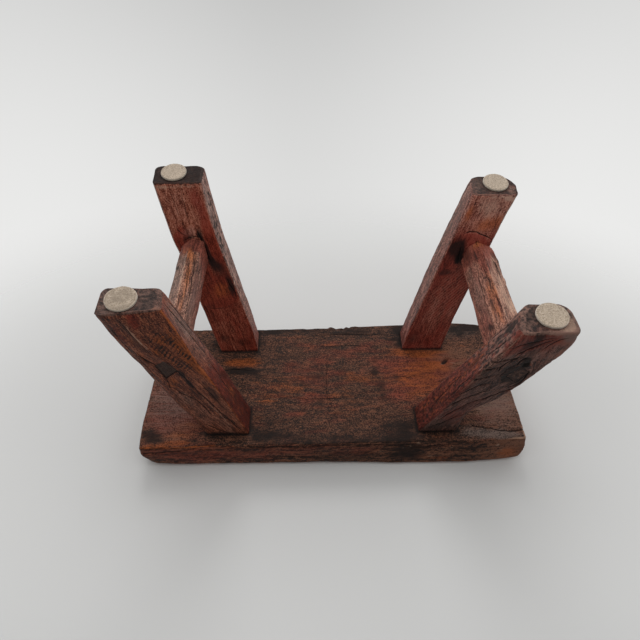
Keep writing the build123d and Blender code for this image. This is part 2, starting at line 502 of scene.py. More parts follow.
    # end grain: duller, finely specked
    endf = t.step(ck[2], 0.4, 0.9)
    endc = t.ramp(t.add(t.add(t.mul(F, 0.55), t.mul(D, 0.45)), t.mul(t.fac("lf"), 0.4)), [(0.42, srgb(*[v * 0.42 for v in end])), (0.50, srgb(*end)), (0.585, srgb(*[v * 1.5 for v in end]))])
    col = t.mix(t.mul(endf, t.step(ma[0], 1.1, 0.1, 0.25, 0.80)), col, endc)
    col = t.mix(t.mul(t.mul(endf, em), 0.50), col, worn)
    if saw:                      # strokes left by a saw, broken up by the grain
        sw = t.split(t.attr("sw"))
        ph = t.math("FRACT", t.add(sw[0], c(C, 0.8)))
        tri = t.mul(t.math("ABSOLUTE", t.sub(ph, 0.5)), 2.0)
        if saw == "dark":
            stroke = t.mul(t.step(t.add(tri, c(D, 1.6)), 0.58, 0.22), t.mul(sw[1], t.step(t.noise(t.vmul(gr, (0.05, 0.11, 0.11)), 1.0, 2.0, 0.5), 0.40, 0.54)), True)
            col = t.mix(t.mul(stroke, 0.94), col, tuple(k * 0.75 for k in stain_and_shade))
        else:
            stroke = t.mul(t.step(t.add(tri, t.add(c(D, 0.7), c(F, 0.5))), 0.46, 0.10), t.mul(sw[1], t.step(D, 0.28, 0.46)), True)
            col = t.mix(t.mul(stroke, 0.30), col, tuple(k * f for k, f in zip(worn, (0.95, 0.78, 0.74))))
    # grime, and painted shade darkening the corners and joints between parts
    col = t.mix(t.mul(t.step(t.add(mb[1], c(D, 0.9)), 0.15, 0.9), 0.86), col, tuple(k * 0.45 for k in stain_and_shade))
    # cracks and scored lines
    reach = t.math("ABSOLUTE", t.add(ck[0], c(F, 0.9)))
    gap = t.sub(reach, t.mul(ck[1], t.add(0.35, t.mul(E, 1.2))))
    line = t.step(gap, 0.22, -0.10)
    line = t.mul(line, t.step(ck[1], -0.05, 0.12))
    col = t.mix(t.mul(line, 0.90), col, tuple(k * 0.35 for k in stain_and_shade))
    t.put(t.bsdf.inputs["Base Color"], col)
    # sheen of wax: smooth on worn places, dull in stains and pores; the painted shade in the dark mask is made duller
    # too
    mid = (rough[0] + rough[1]) / 2
    ro = t.add(t.add(c(D, 0.35), c(B, 0.30)), mid)
    ro = t.add(ro, t.mul(dm, 0.10))
    ro = t.sub(ro, t.mul(em, 0.10))
    ro = t.math("MINIMUM", t.math("MAXIMUM", t.add(ro, t.mul(line, 0.3)), rough[0]), 0.95)
    t.put(t.bsdf.inputs["Roughness"], ro)
    t.bsdf.inputs["Specular IOR Level"].default_value = spec
    h = t.add(t.mul(A, 0.7), t.add(t.mul(B, 0.8), t.add(t.mul(F, 0.35), t.mul(G, 0.25))))
    h = t.sub(h, t.mul(line, 1.3))
    h = t.sub(h, t.mul(t.add(fl, pore), 0.30))
    t.put(t.bsdf.inputs["Normal"], t.bump(h, bump, 0.0009))
    return t.mat


def felt_material():
    t = Tree("felt")
    p = t.attr("gr")
    fib = t.noise(t.vmul(p, (2.4, 1.3, 1.8)), 1.0, 4.0, 0.7, 0.9)
    fib2 = t.noise(t.vmul(p, (1.2, 2.6, 1.8)), 1.0, 4.0, 0.7, 0.9)
    soft = t.noise(t.vmul(p, (0.16, 0.16, 0.2)), 1.0, 3.0, 0.5)
    speck = t.noise(t.vmul(p, (1.15, 1.15, 1.15)), 1.0, 4.0, 0.85)
    fine = t.noise(t.vmul(p, (2.6, 2.6, 2.6)), 1.0, 2.0, 0.6)
    m = t.split(t.attr("ma"))
    f = t.add(t.mul(fib, 0.5), t.mul(fib2, 0.5))
    col = t.ramp(t.add(t.mul(f, 0.30), t.mul(speck, 0.70)), [(0.40, srgb(92, 75, 59)), (0.48, srgb(161, 142, 121)), (0.57, srgb(216, 198, 176))])
    col = t.mix(t.mul(t.step(soft, 0.45, 0.72), 0.4), col, srgb(164, 147, 128))
    col = t.mix(t.mul(t.step(speck, 0.56, 0.66), 0.60), col, srgb(100, 84, 70))
    col = t.mix(t.mul(t.step(fine, 0.58, 0.70), 0.60), col, srgb(108, 92, 78))
    col = t.mix(t.mul(t.step(t.add(m[1], t.mul(t.sub(f, 0.5), 0.8)), 0.3, 0.9), 0.75), col, srgb(206, 192, 174))
    col = t.mix(t.mul(t.step(t.add(m[0], t.mul(t.sub(soft, 0.5), 1.2)), 0.4, 1.0), 0.55), col, srgb(112, 96, 78))
    t.put(t.bsdf.inputs["Base Color"], col)
    t.put(t.bsdf.inputs["Roughness"], t.step(f, 0.3, 0.7, 0.97, 0.86))
    t.bsdf.inputs["Sheen Weight"].default_value = 0.35
    t.bsdf.inputs["Sheen Roughness"].default_value = 0.6
    t.bsdf.inputs["Specular IOR Level"].default_value = 0.15
    t.put(t.bsdf.inputs["Normal"], t.bump(t.add(f, t.mul(speck, 0.4)), 0.9, 0.0006))
    return t.mat


# --------------------------------------------------------------------- legs
def upper_z(x, y):
    """The seat's upper face dips a little where it is sat on; the tenon ends follow it."""
    return 1.5 * np.exp(-((x / 120.0) ** 2 + ((y + 4) / 52.0) ** 2) * 0.9) + 0.25


SIDES, ARCS = (38, 26, 38, 26), (10, 6, 6, 6)      # points along each side and round each corner
# corner order: front left, front right, rear right, rear left. (z, x, y)
LEGS = {
    "front_right_leg": dict(
        c=[[(42, -131.5, -64.6), (79, -141.8, -67.3), (103, -150.5, -69.0), (148, -163.5, -72.6), (169, -168.1, -74.2), (189, -174.9, -75.8), (225, -183.4, -78.9), (248.6, -186.2, -82.0)],
           [(42, -87.6, -64.6), (95, -99.2, -68.6), (146, -111.5, -72.2), (185.5, -122.1, -74.6), (210, -126.8, -75.6), (228, -131.6, -76.0), (248.6, -139.8, -75.8)],
           [(42, -87.6, -32.9), (108, -102.2, -39.6), (174, -119.3, -46.4), (225, -133.6, -51.6), (248.6, -141.0, -54.0)],
           [(42, -131.2, -32.9), (108, -152.4, -39.6), (174, -169.2, -46.4), (225, -181.5, -51.6), (248.6, -186.0, -53.2)]],
        # per corner: (z, along the side before, along the side after, fullness)
        r=[[(42, 2.5, 5.0, 0.5), (110, 3.5, 8.0, 0.45), (190, 4.0, 9.5, 0.45), (240, 3.2, 5.5, 0.6), (248.6, 2.5, 3.5, 0.7)],
           [(42, 1.2, 1.2, 0.9), (190, 1.6, 1.6, 0.9), (240, 2.2, 2.2, 0.9), (248.6, 4.5, 4.5, 0.8)],
           [(42, 2.0, 2.0, 0.9), (238, 2.6, 2.6, 0.9), (248.6, 6.0, 8.0, 0.6)],
           [(42, 2.0, 2.0, 0.9), (200, 3.0, 3.0, 0.85), (248.6, 4.5, 6.0, 0.7)]],
        axis=[(42, -91), (61, -99.0), (88.4, -109.6), (112, -118.8), (131.2, -126.5), (144.9, -131.8), (157.5, -135.4), (167.6, -139.4), (177.6, -143.8), (186, -149.0), (193, -154.4), (202, -157.6), (214, -161.1), (223.4, -164.3), (234.5, -166.9), (248, -169.5)],
        seed=101),
    "front_left_leg": dict(
        c=[[(42, 87.0, -64.6), (108, 99.8, -77.0), (174, 112.6, -89.6), (222, 121.8, -99.0), (240, 125.4, -102.6), (248.6, 127.6, -103.4)],
           [(42, 128.4, -64.6), (62, 128.0, -68.4), (80, 128.6, -72.0), (95, 131.6, -75.0), (110, 138.5, -77.6), (126, 147.6, -80.8), (141, 153.8, -83.4), (165, 159.9, -89.3), (185, 164.5, -93.3), (209, 169.5, -97.7), (236, 173.3, -102.2), (248.6, 173.4, -103.4)],
           [(42, 127.5, -35.2), (108, 140.5, -47.5), (174, 161.0, -59.9), (236, 171.4, -71.0), (248.6, 171.6, -72.6)],
           [(42, 86.4, -35.2), (108, 101.8, -47.5), (172, 118.6, -59.6), (221, 130.0, -68.8), (236, 132.6, -71.2), (248.6, 133.5, -72.8)]],
        r=[[(42, 1.8, 1.8, 0.9), (110, 4.0, 4.0, 0.7), (220, 5.0, 5.0, 0.7), (248.6, 6.5, 6.5, 0.8)],
           [(42, 3.5, 4.0, 0.6), (95, 7.0, 7.0, 0.6), (140, 5.0, 6.0, 0.6), (200, 5.0, 6.0, 0.6), (232, 5.0, 5.0, 0.75), (248.6, 7.0, 6.0, 0.75)],
           [(42, 2.5, 2.5, 0.9), (236, 5.5, 5.0, 0.8), (248.6, 12.0, 10.0, 0.6)],
           [(42, 2.0, 2.0, 0.9), (200, 3.0, 3.0, 0.9), (236, 5.0, 6.0, 0.6), (248.6, 8.5, 10.0, 0.35)]],
        axis=[(42, 108), (80, 113), (110, 120.5), (140, 130), (165, 137), (181, 143), (200, 147), (225, 149), (248, 151)],
        seed=202),
    "back_right_leg": dict(
        c=[[(42, -125.6, 42.2), (76, -133.6, 48.2), (106, -139.9, 53.4), (142, -147.4, 59.6), (175, -155.2, 65.4), (186, -158.4, 67.4), (215, -162.9, 72.4), (235, -166.2, 76.0), (248.6, -168.6, 78.4)],
           [(42, -83.2, 42.2), (66.6, -86.2, 46.4), (94, -92.4, 51.2), (122, -99.4, 56.2), (150, -105.8, 61.0), (177.6, -112.0, 65.8), (211, -118.6, 71.8), (248.6, -124.4, 79.2)],
           [(42, -83.0, 70.0), (108, -96.9, 81.3), (174, -111.3, 92.6), (248.6, -123.4, 105.6)],
           [(42, -126.0, 70.0), (108, -140.2, 81.3), (174, -155.3, 92.6), (186, -158.4, 94.6), (220, -163.6, 100.4), (248.6, -169.8, 105.4)]],
        r=[[(42, 2.0, 2.0, 0.8), (200, 2.4, 2.8, 0.75), (248.6, 3.0, 3.0, 0.8)],
           [(42, 1.2, 1.2, 0.9), (248.6, 2.4, 2.4, 0.9)],
           [(42, 2.0, 2.0, 0.9), (238, 3.0, 3.0, 0.9), (248.6, 7.0, 7.0, 0.7)],
           [(42, 2.0, 2.0, 0.9), (238, 3.0, 3.0, 0.9), (248.6, 8.0, 6.5, 0.75)]],
        axis=[(42, -104.5), (108, -118.5), (174, -133), (248, -146)],
        seed=303),
    "back_left_leg": dict(
        c=[[(42, 82.7, 42.9), (64, 86.0, 44.6), (108, 94.6, 48.1), (174, 108.2, 53.4), (230, 120.0, 57.8), (248.6, 125.0, 59.8)],
           [(42, 128.2, 42.9), (84.3, 133.9, 46.2), (128, 142.0, 49.7), (191.7, 153.4, 54.6), (229, 160.6, 57.2), (248.6, 166.9, 58.6)],
           [(42, 127.3, 68.1), (108, 138.5, 74.5), (174, 151.6, 81.0), (248.6, 167.5, 87.4)],
           [(42, 83.0, 68.1), (64, 86.6, 70.2), (108, 94.8, 74.5), (174, 108.6, 81.0), (215, 118.2, 85.0), (232, 122.6, 86.8), (248.6, 128.4, 88.4)]],
        r=[[(42, 1.6, 1.6, 0.9), (230, 2.2, 2.2, 0.8), (248.6, 3.5, 3.5, 0.7)],
           [(42, 1.8, 1.8, 0.9), (190, 2.2, 2.2, 0.9), (236, 3.0, 3.0, 0.8), (248.6, 4.0, 4.5, 0.7)],
           [(42, 2.0, 2.0, 0.9), (230, 4.5, 4.0, 0.7), (248.6, 14.0, 10.0, 0.3)],
           [(42, 2.0, 2.0, 0.9), (236, 3.5, 4.0, 0.8), (248.6, 7.0, 9.0, 0.55)]],
        axis=[(42, 105.5), (108, 117), (174, 130.4), (248, 145.5)],
        seed=404),
}
# stretchers, lying on the seat: near end, far end, five corners of the bar in (x, z), five of its tenon,
# and the bar's size at the far end
STRETCHERS = {
    "right_stretcher": dict(near=(-148.0, -73.0, 170.0), far=(-138.5, 66.0, 177.0), share=0.96,
                            body=[(-13, 4), (-0.5, 17.5), (10.5, 10.5), (13, -14.5), (-6, -17)],
                            tenon=[(-7.8, 4.3), (1.7, 13.5), (5.4, 5.2), (9, -3.1), (-2.7, -15)],
                            legs=("front_right_leg", "back_right_leg"), seed=11),
    "left_stretcher": dict(near=(145.5, -89.0, 181.8), far=(139.8, 56.0, 184.0), share=0.84,
                           body=[(18.0, 4), (-1.5, 17.5), (-11, 7), (-15.5, -15), (6, -18.5)],
                           tenon=[(7.8, 4.3), (-1.7, 13.5), (-5.4, 5.2), (-9, -3.1), (2.7, -15)],
                           legs=("front_left_leg", "back_left_leg"), seed=12),
}


def tenon_poly(s, t, grow=0.0, scale=1.0):
    """The stretcher tenon's four corners at share t from the near end (0) to the far end (1)."""
    n, f = np.array(s["near"], float), np.array(s["far"], float)
    c = n + (f - n) * t
    p = np.array([s["tenon"][k] for k in (0, 1, 3, 4)], float)
    d = p / np.linalg.norm(p, axis=1, keepdims=True)
    p = p * scale + d * grow * 1.35
    return np.stack([c[0] + p[:, 0], np.full(4, c[1]), c[2] + p[:, 1]], 1)


def tenon_path(name):
    """Middle of the leg's tenon at the seat's underside and at its upper face."""
    L = LEGS[name]
    root = np.array([c[0][1:] for c in L["c"]], float).mean(0)
    foot = np.array([c[-1][1:] for c in L["c"]], float).mean(0)
    lean = (root - foot) / DROP
    return root, root + lean * SEAT_T


TX, TY = 14.5, 9.0    # half sizes of the seat tenon


def leg_shape(name):
    L = LEGS[name]
    P = Perlin(L["seed"])
    zs = np.concatenate([np.linspace(SEAT_T, SEAT_T + 8, 8)[:-1], np.linspace(SEAT_T + 8, END_Z - 6, 176)[:-1], np.linspace(END_Z - 6, END_Z, 9)])
    C = np.stack([np.stack([hermite(zs, [p[0] for p in c], [p[1] for p in c]), hermite(zs, [p[0] for p in c], [p[2] for p in c])], -1) for c in L["c"]], 1)
    ta = np.stack([hermite(zs, [p[0] for p in r], [p[1] for p in r]) for r in L["r"]], 1)
    tb = np.stack([hermite(zs, [p[0] for p in r], [p[2] for p in r]) for r in L["r"]], 1)
    kk = np.stack([hermite(zs, [p[0] for p in r], [p[3] for p in r]) for r in L["r"]], 1)
    ring, side, corner = section(C, ta, tb, kk, SIDES, ARCS)
    n = ring.shape[1]
    W = side_weights(side, 4)
    shaft = np.concatenate([ring, np.broadcast_to(zs[:, None, None], (len(zs), n, 1))], -1)
    # tenon below the shoulder
    root, top = tenon_path(name)
    tz = np.linspace(0.0, SEAT_T, 15)
    tc = root + (top - root) * (1 - tz[:, None] / SEAT_T)
    box = np.array([(-TX, -TY), (TX, -TY), (TX, TY), (-TX, TY)])
    TC = tc[:, None] + box[None]
    one = np.full((len(tz), 4), 0.9)
    tring, _, _ = section(TC, one, one, one, SIDES, ARCS)
    ten = np.concatenate([tring, np.broadcast_to(tz[:, None, None], (len(tz), n, 1))], -1)
    ten[0, :, 2] = upper_z(ten[0, :, 0], ten[0, :, 1])
    rings, kind = [], []       # kind: 0 shaft, 1 tenon, 2 shoulder, 3 foot end, 4 tenon end
    mid = ten[0].mean(0)
    for q in np.linspace(0.08, 0.97, 8):
        r = mid + (ten[0] - mid) * q
        r[:, 2] = upper_z(r[:, 0], r[:, 1]) - 0.1
        rings.append(r); kind.append(4)
    for k in range(len(tz)):
        rings.append(ten[k]); kind.append(1)
    for q in (0.2, 0.4, 0.6, 0.8):
        r = ten[-1] * (1 - q) + shaft[0] * q
        r[:, 2] = SEAT_T - 0.05
        rings.append(r); kind.append(2)
    first = len(rings)
    for k in range(len(zs)):
        rings.append(shaft[k].copy()); kind.append(0)
    # foot end: worn rim, then the sawn end
    end = shaft[-1]
    mid_end = end.mean(0)
    inward = mid_end[None] - end
    inward[:, 2] = 0
    inward /= np.linalg.norm(inward, axis=1, keepdims=True)
    rho = (3.2 if name == "front_left_leg" else 1.35) + 0.6 * P(np.stack([end[:, 0], end[:, 1], np.zeros(n)], 1), (9, 9, 9))
    for k in range(9):         # pull the last rings in round the rim
        a = (k / 8.0) * math.pi / 2
        j = first + len(zs) - 9 + k
        low = END_Z - rho * (1 - math.sin(a))
        rings[j][:, :2] += inward[:, :2] * (rho * (1 - math.cos(a)))[:, None]
        rings[j][:, 2] = np.where(True, END_Z - (END_Z - rings[j][:, 2]) * 0 - rho * (1 - math.sin(a)) * 1.0, low)
    base_z = END_Z - rho
    for j in range(first + len(zs) - 30, first + len(zs) - 9):   # even out the rings below the rim
        q = (rings[j][0, 2] - zs[-31]) / (zs[-9] - zs[-31])
        rings[j][:, 2] = zs[-31] + (base_z - zs[-31]) * q * 0.995
    rim = rings[-1]
    mid_rim = np.array([rim[:, 0].mean(), rim[:, 1].mean(), END_Z])
    for q in np.linspace(0.95, 0.06, 15):
        r = mid_rim + (rim - mid_rim) * q
        r[:, 2] = END_Z
        rings.append(r); kind.append(3)
    rings = np.array(rings)
    kind = np.repeat(np.array(kind), n)
    co = rings.reshape(-1, 3)
    co = np.concatenate([co, [[mid[0], mid[1], upper_z(mid[0], mid[1]) - 0.1], [mid_rim[0], mid_rim[1], END_Z]]])
    kind = np.concatenate([kind, [4, 3]])
    Wv = np.concatenate([np.tile(W, (len(rings), 1)), np.zeros((2, 4))])
    near = np.zeros((n, 4))
    for k, (i, d) in enumerate(corner):
        near[k, i] = math.exp(-(d / 2.2) ** 2)
    Ev = np.concatenate([np.tile(near, (len(rings), 1)), np.zeros((2, 4))])
    return co, tube_faces(len(rings), n), kind, Wv, Ev


def outside(px, pz, poly):
    """Distance of points outside a convex outline (0 inside)."""
    poly = np.asarray(poly, float)
    best = np.full(len(px), 1e9)
    inside = np.ones(len(px), bool)
    area = sum(poly[i][0] * poly[(i + 1) % len(poly)][1] - poly[(i + 1) % len(poly)][0] * poly[i][1] for i in range(len(poly)))
    for i in range(len(poly)):
        a, b = poly[i], poly[(i + 1) % len(poly)]
        e = b - a
        q = np.clip(((px - a[0]) * e[0] + (pz - a[1]) * e[1]) / (e @ e), 0, 1)
        best = np.minimum(best, np.hypot(px - a[0] - q * e[0], pz - a[1] - q * e[1]))
        inside &= (e[0] * (pz - a[1]) - e[1] * (px - a[0])) * np.sign(area) >= 0
    return np.where(inside, 0.0, best)


def joint_distance(leg, x, y, z, tenon):
    for S in STRETCHERS.values():
        if leg in S["legs"]:
            n0, f0 = np.array(S["near"], float), np.array(S["far"], float)
            t = (y - n0[1]) / (f0[1] - n0[1])
            size = 1.0 if tenon else 1 + (S["share"] - 1) * np.clip(t, 0, 1)
            return outside((x - n0[0] - (f0[0] - n0[0]) * t) / size, (z - n0[2] - (f0[2] - n0[2]) * t) / size, S["tenon" if tenon else "body"])


# Patches seen on each face: (mask, place, half sizes, turn, how much, softness). The legs' front faces and
# the seat's near side are laid out in (x, z), the legs' inner sides in (y, z), the underside and the leg
# ends in (x, y), the stretchers in (length along, way round the bar from its first corner).
SPOTS = {
    ("front_right_leg", "front"): [
        ("grey", -165.5, 228.0, 20.0, 2.8, -77, 0.40, 0.80), ("dark", -168.0, 235.9, 9.1, 2.0, -79, 0.50, 0.70), ("dark", -163.8, 218.8, 9.7, 1.9, -79, 0.50, 0.70), ("dark", -159.1, 202.0, 9.0, 1.8, -77, 0.50, 0.70), ("dark", -161.8, 181.9, 5.6, 3.3, -81, 0.50, 0.60),
        ("dark", -136.5, 162.4, 7.0, 2.5, -77, 1.00, 0.50), ("dark", -132.4, 145.8, 8.3, 2.4, -78, 0.90, 0.50), ("dark", -126.9, 123.8, 11.6, 2.8, -75, 0.50, 0.60), ("dark", -113.8, 126.8, 16.4, 4.7, -77, 0.75, 0.60),
        ("dark", -105.8, 93.4, 19.0, 3.9, -73, 0.45, 0.60), ("warm", -150.5, 193.9, 7.0, 3.8, -69, 0.32, 0.70), ("warm", -146.1, 146.6, 10.0, 4.8, 87, 0.62, 0.50), ("warm", -143.3, 210.8, 7.3, 4.1, 86, 0.25, 0.70),
        ("warm", -150.4, 235.7, 10.1, 5.1, -81, 0.20, 0.80), ("red", -158.5, 239.3, 8.9, 4.2, -80, 0.55, 0.70), ("red", -174.4, 221.7, 17.5, 3.5, -81, 0.45, 0.70), ("warm", -163.5, 192.5, 9.5, 2.9, -80, 0.35, 0.70),
        ("warm", -122.2, 173.5, 15.1, 2.9, -76, 0.35, 0.60), ("warm", -126.8, 196.7, 11.8, 3.6, -78, 0.28, 0.70), ("grey", -129.2, 88.3, 28.4, 9.5, -80, 0.36, 0.80), ("grey", -107.8, 56.8, 24.4, 6.5, -76, 0.35, 0.60),
        ("grey", -140.9, 120.8, 15.7, 6.5, -85, 0.35, 0.70), ("dark", -111.8, 38.7, 22.4, 9.8, -6, 0.90, 0.50), ("red", -157.5, 132.9, 18.7, 3.6, -74, 0.35, 0.60), ("grey", -155.2, 121.6, 19.2, 2.0, -72, 0.30, 0.60),
        ("dark", -179.6, 241.4, 8.0, 3.8, -84, 0.30, 0.70), ("worn", -160.6, 219.7, 18.7, 0.8, -74, 0.90, 0.50), ("worn", -115.2, 93.9, 46.1, 1.0, -71, 0.70, 0.50)],
    ("front_right_leg", "side"): [
        ("grey", -59.4, 219.7, 28.1, 10.7, -70, 0.48, 0.80), ("grey", -58.1, 185.6, 29.8, 11.1, -69, 0.34, 0.80), ("grey", -57.6, 160.6, 24.9, 9.3, -64, 0.12, 0.80), ("worn", -57.4, 230.6, 15.8, 3.1, -79, 0.45, 0.60),
        ("worn", -59.0, 193.4, 26.6, 2.6, -84, 0.40, 0.60), ("red", -58.5, 122.8, 33.9, 11.8, -58, 0.70, 0.70), ("red", -52.9, 79.0, 38.3, 15.2, -67, 1.25, 0.60), ("lift", -52.9, 74.0, 34.0, 15.2, -67, -0.07, 0.70), ("warm", -52.4, 101.8, 15.7, 6.2, -80, 0.55, 0.80),
        ("warm", -57.0, 72.7, 15.0, 5.9, -81, 0.35, 0.70), ("dark", -58.9, 137.9, 16.0, 5.5, -65, 0.30, 0.70), ("dark", -20.2, 52.6, 23.8, 12.1, -46, 0.45, 0.70)],
    ("front_left_leg", "front"): [
        ("dark", 140.9, 181.2, 21.5, 9.1, -76, 0.66, 0.60), ("dark", 145.1, 203.5, 8.5, 3.4, -79, 0.95, 0.50), ("dark", 144.7, 220.9, 8.7, 3.6, -88, 0.50, 0.60), ("dark", 117.6, 193.1, 13.3, 7.2, 65, 0.45, 0.70),
        ("dark", 117.3, 169.8, 17.3, 8.0, 69, 0.40, 0.70), ("dark", 144.1, 247.9, 17.0, 3.6, 68, 0.50, 0.60), ("dark", 137.8, 234.1, 14.8, 3.9, 70, 0.45, 0.60), ("red", 139.1, 243.4, 20.2, 8.3, 76, 0.35, 0.80),
        ("lift", 160.4, 246.2, 11.1, 8.1, 83, 0.36, 0.80), ("warm", 158.0, 243.0, 13.0, 6.0, 70, 0.20, 0.80), ("lift", 141.0, 252.0, 14.0, 4.0, 10, 0.16, 0.80), ("grey", 163.2, 250.0, 11.3, 4.1, -66, 0.30, 0.80), ("grey", 162.7, 228.7, 13.5, 3.3, 86, 0.25, 0.80), ("grey", 129.0, 125.9, 30.9, 10.9, 66, 0.30, 0.80),
        ("red", 118.3, 101.6, 35.8, 14.8, 79, 0.35, 0.80), ("dark", 105.7, 60.6, 22.7, 14.3, 68, 0.55, 0.70), ("red", 119.0, 221.4, 14.1, 6.5, 75, 0.40, 0.70), ("dark", 108.4, 146.7, 13.6, 5.8, 79, 0.30, 0.70),
        ("dark", 153.4, 160.9, 10.3, 4.3, -88, 0.45, 0.60), ("worn", 145.3, 205.3, 2.5, 1.1, -66, 0.80, 0.60), ("worn", 145.8, 194.4, 2.4, 1.0, -67, 0.55, 0.60), ("warm", 151.1, 198.2, 4.1, 1.7, -77, 0.50, 0.70),
        ("grey", 141.8, 181.2, 11.6, 4.9, -78, 0.35, 0.70)],
    ("front_left_leg", "side"): [
        ("dark", -82.6, 232.4, 10.8, 4.6, -67, 0.75, 0.50), ("dark", -93.5, 251.1, 9.9, 6.5, -51, 0.55, 0.60), ("dark", -79.4, 212.4, 12.3, 3.7, -67, 0.45, 0.60), ("grey", -69.1, 218.6, 28.1, 4.7, -71, 0.16, 0.90),
        ("grey", -66.9, 194.0, 29.0, 5.7, -69, 0.08, 0.90), ("red", -102.5, 251.7, 8.5, 6.3, -82, 0.63, 0.85), ("warm", -71.5, 184.7, 23.7, 7.0, -70, 0.24, 0.80), ("red", -73.5, 157.2, 30.3, 9.9, -73, 0.60, 0.90),
        ("warm", -71.0, 165.6, 17.9, 6.0, -76, 0.30, 0.90), ("warm", -61.3, 130.3, 18.4, 5.5, -77, 0.34, 0.90), ("warm", -63.0, 104.4, 18.9, 5.9, -80, 0.34, 0.90), ("red", -59.8, 102.9, 37.0, 12.5, -76, 1.10, 0.70),
        ("red", -59.8, 66.4, 29.8, 11.2, -68, 1.20, 0.70), ("warm", -46.5, 65.9, 11.4, 4.9, -80, 0.35, 0.60), ("dark", -76.5, 139.8, 12.7, 2.8, -83, 0.40, 0.60), ("dark", -86.9, 170.3, 11.7, 2.6, -75, 0.35, 0.60),
        ("dark", -61.4, 82.1, 11.0, 2.9, -86, 0.35, 0.60), ("grey", -83.4, 201.8, 19.1, 3.4, -72, 0.15, 0.80), ("lift", -70.0, 214.0, 26.0, 8.0, -70, 0.14, 0.80)],
    ("back_right_leg", "front"): [
        ("worn", -144.9, 245.8, 22.7, 2.0, -1, 0.60, 0.60), ("worn", -160.7, 243.6, 5.2, 3.1, -22, 0.45, 0.70), ("warm", -162.3, 233.6, 13.4, 3.9, -79, 0.22, 0.85), ("grey", -156.2, 225.4, 17.5, 4.9, -77, 0.16, 0.90),
        ("grey", -145.0, 225.2, 21.8, 5.8, -80, 0.16, 0.80), ("dark", -143.3, 231.3, 15.7, 1.6, -81, 0.16, 0.80), ("red", -128.2, 226.0, 19.6, 5.9, -75, 0.45, 0.80), ("warm", -131.2, 216.7, 20.0, 3.5, -75, 0.20, 0.80), ("grey", -128.5, 222.0, 22.0, 5.0, -76, 0.16, 0.90),
        ("dark", -140.1, 192.4, 7.0, 3.6, 14, 0.42, 0.90), ("grey", -141.5, 196.5, 9.0, 5.5, 15, 0.34, 0.80), ("lift", -121.0, 214.0, 22.0, 6.5, -77, 0.09, 0.80), ("dark", -145.5, 188.5, 4.6, 3.4, 31, 0.34, 0.90), ("dark", -131.7, 196.2, 7.0, 2.4, -82, 0.65, 0.70), ("dark", -128.3, 183.9, 8.0, 2.7, -76, 0.75, 0.70),
        ("dark", -125.0, 170.0, 9.0, 3.9, -79, 0.85, 0.70), ("dark", -114.6, 153.1, 10.8, 8.4, -69, 0.62, 0.85), ("dark", -120.8, 161.6, 6.5, 4.6, -68, 0.50, 0.80), ("red", -149.8, 191.0, 10.3, 5.7, 72, 0.55, 0.80),
        ("red", -119.8, 190.5, 21.6, 6.0, -79, 0.75, 0.70), ("warm", -118.1, 188.2, 15.1, 3.0, -77, 0.25, 0.70), ("dark", -105.2, 131.8, 12.3, 4.2, -81, 0.88, 0.75), ("warm", -115.0, 128.2, 10.0, 8.4, -64, 0.75, 0.60),
        ("warm", -125.3, 119.3, 7.7, 6.2, -57, 0.35, 0.70), ("red", -116.2, 125.6, 15.8, 13.3, 85, 0.70, 0.70), ("dark", -123.6, 104.6, 12.7, 4.4, -11, 0.30, 0.80), ("dark", -112.3, 111.2, 7.5, 3.4, -28, 0.25, 0.80),
        ("dark", -129.1, 112.8, 6.7, 4.2, 80, 0.30, 0.70), ("warm", -114.8, 95.0, 10.2, 4.1, -73, 0.25, 0.70), ("dark", -111.5, 57.8, 13.4, 5.9, -3, 0.38, 0.80), ("dark", -119.8, 65.3, 6.0, 5.4, 59, 0.40, 0.60),
        ("dark", -94.9, 54.6, 9.0, 7.4, 6, 0.40, 0.60), ("dark", -128.8, 85.5, 16.0, 3.4, -79, 0.30, 0.70)],
    ("back_right_leg", "side"): [
        ("dark", 90.2, 238.6, 5.9, 3.8, -65, 0.50, 0.50), ("dark", 88.7, 222.3, 10.1, 5.6, -68, 1.00, 0.40), ("dark", 81.2, 200.1, 11.1, 5.7, -51, 1.10, 0.40), ("dark", 84.3, 208.8, 7.1, 3.9, -60, 0.70, 0.50),
        ("dark", 73.8, 181.9, 11.9, 6.4, -64, 1.00, 0.40), ("dark", 67.9, 167.0, 10.0, 5.1, -60, 0.90, 0.40), ("dark", 74.1, 196.0, 6.9, 3.7, -68, 0.70, 0.50), ("worn", 86.5, 215.6, 29.3, 6.5, -89, 0.55, 0.60),
        ("worn", 65.7, 119.4, 42.8, 9.1, -90, 0.45, 0.60), ("red", 50.2, 56.3, 32.7, 11.7, -62, 0.90, 0.60), ("grey", 73.6, 183.4, 88.7, 16.2, -87, 0.40, 0.70), ("lift", 86.0, 214.0, 34.0, 14.0, -80, 0.16, 0.80)],
    ("back_left_leg", "front"): [
        ("worn", 145.3, 249.3, 18.4, 1.9, -3, 0.75, 0.60), ("worn", 158.6, 246.9, 5.8, 3.0, -16, 0.90, 0.60), ("worn", 148.6, 234.9, 16.0, 9.1, 83, 0.22, 0.80), ("warm", 142.5, 215.8, 9.9, 7.2, 25, 0.62, 0.70),
        ("warm", 124.5, 230.1, 9.1, 2.2, 77, 0.60, 0.80), ("warm", 155.0, 219.4, 10.3, 5.2, 82, 0.30, 0.70), ("worn", 138.0, 236.9, 12.1, 7.9, 87, 0.30, 0.80), ("dark", 124.0, 198.0, 8.3, 5.9, -52, 0.62, 0.90),
        ("dark", 120.4, 185.9, 9.7, 7.0, -55, 0.80, 0.90), ("dark", 124.9, 172.1, 7.7, 5.5, -59, 0.85, 0.90), ("dark", 114.6, 190.7, 10.2, 5.2, -36, 0.55, 0.90), ("dark", 112.1, 170.7, 10.6, 3.8, 79, 0.45, 0.70),
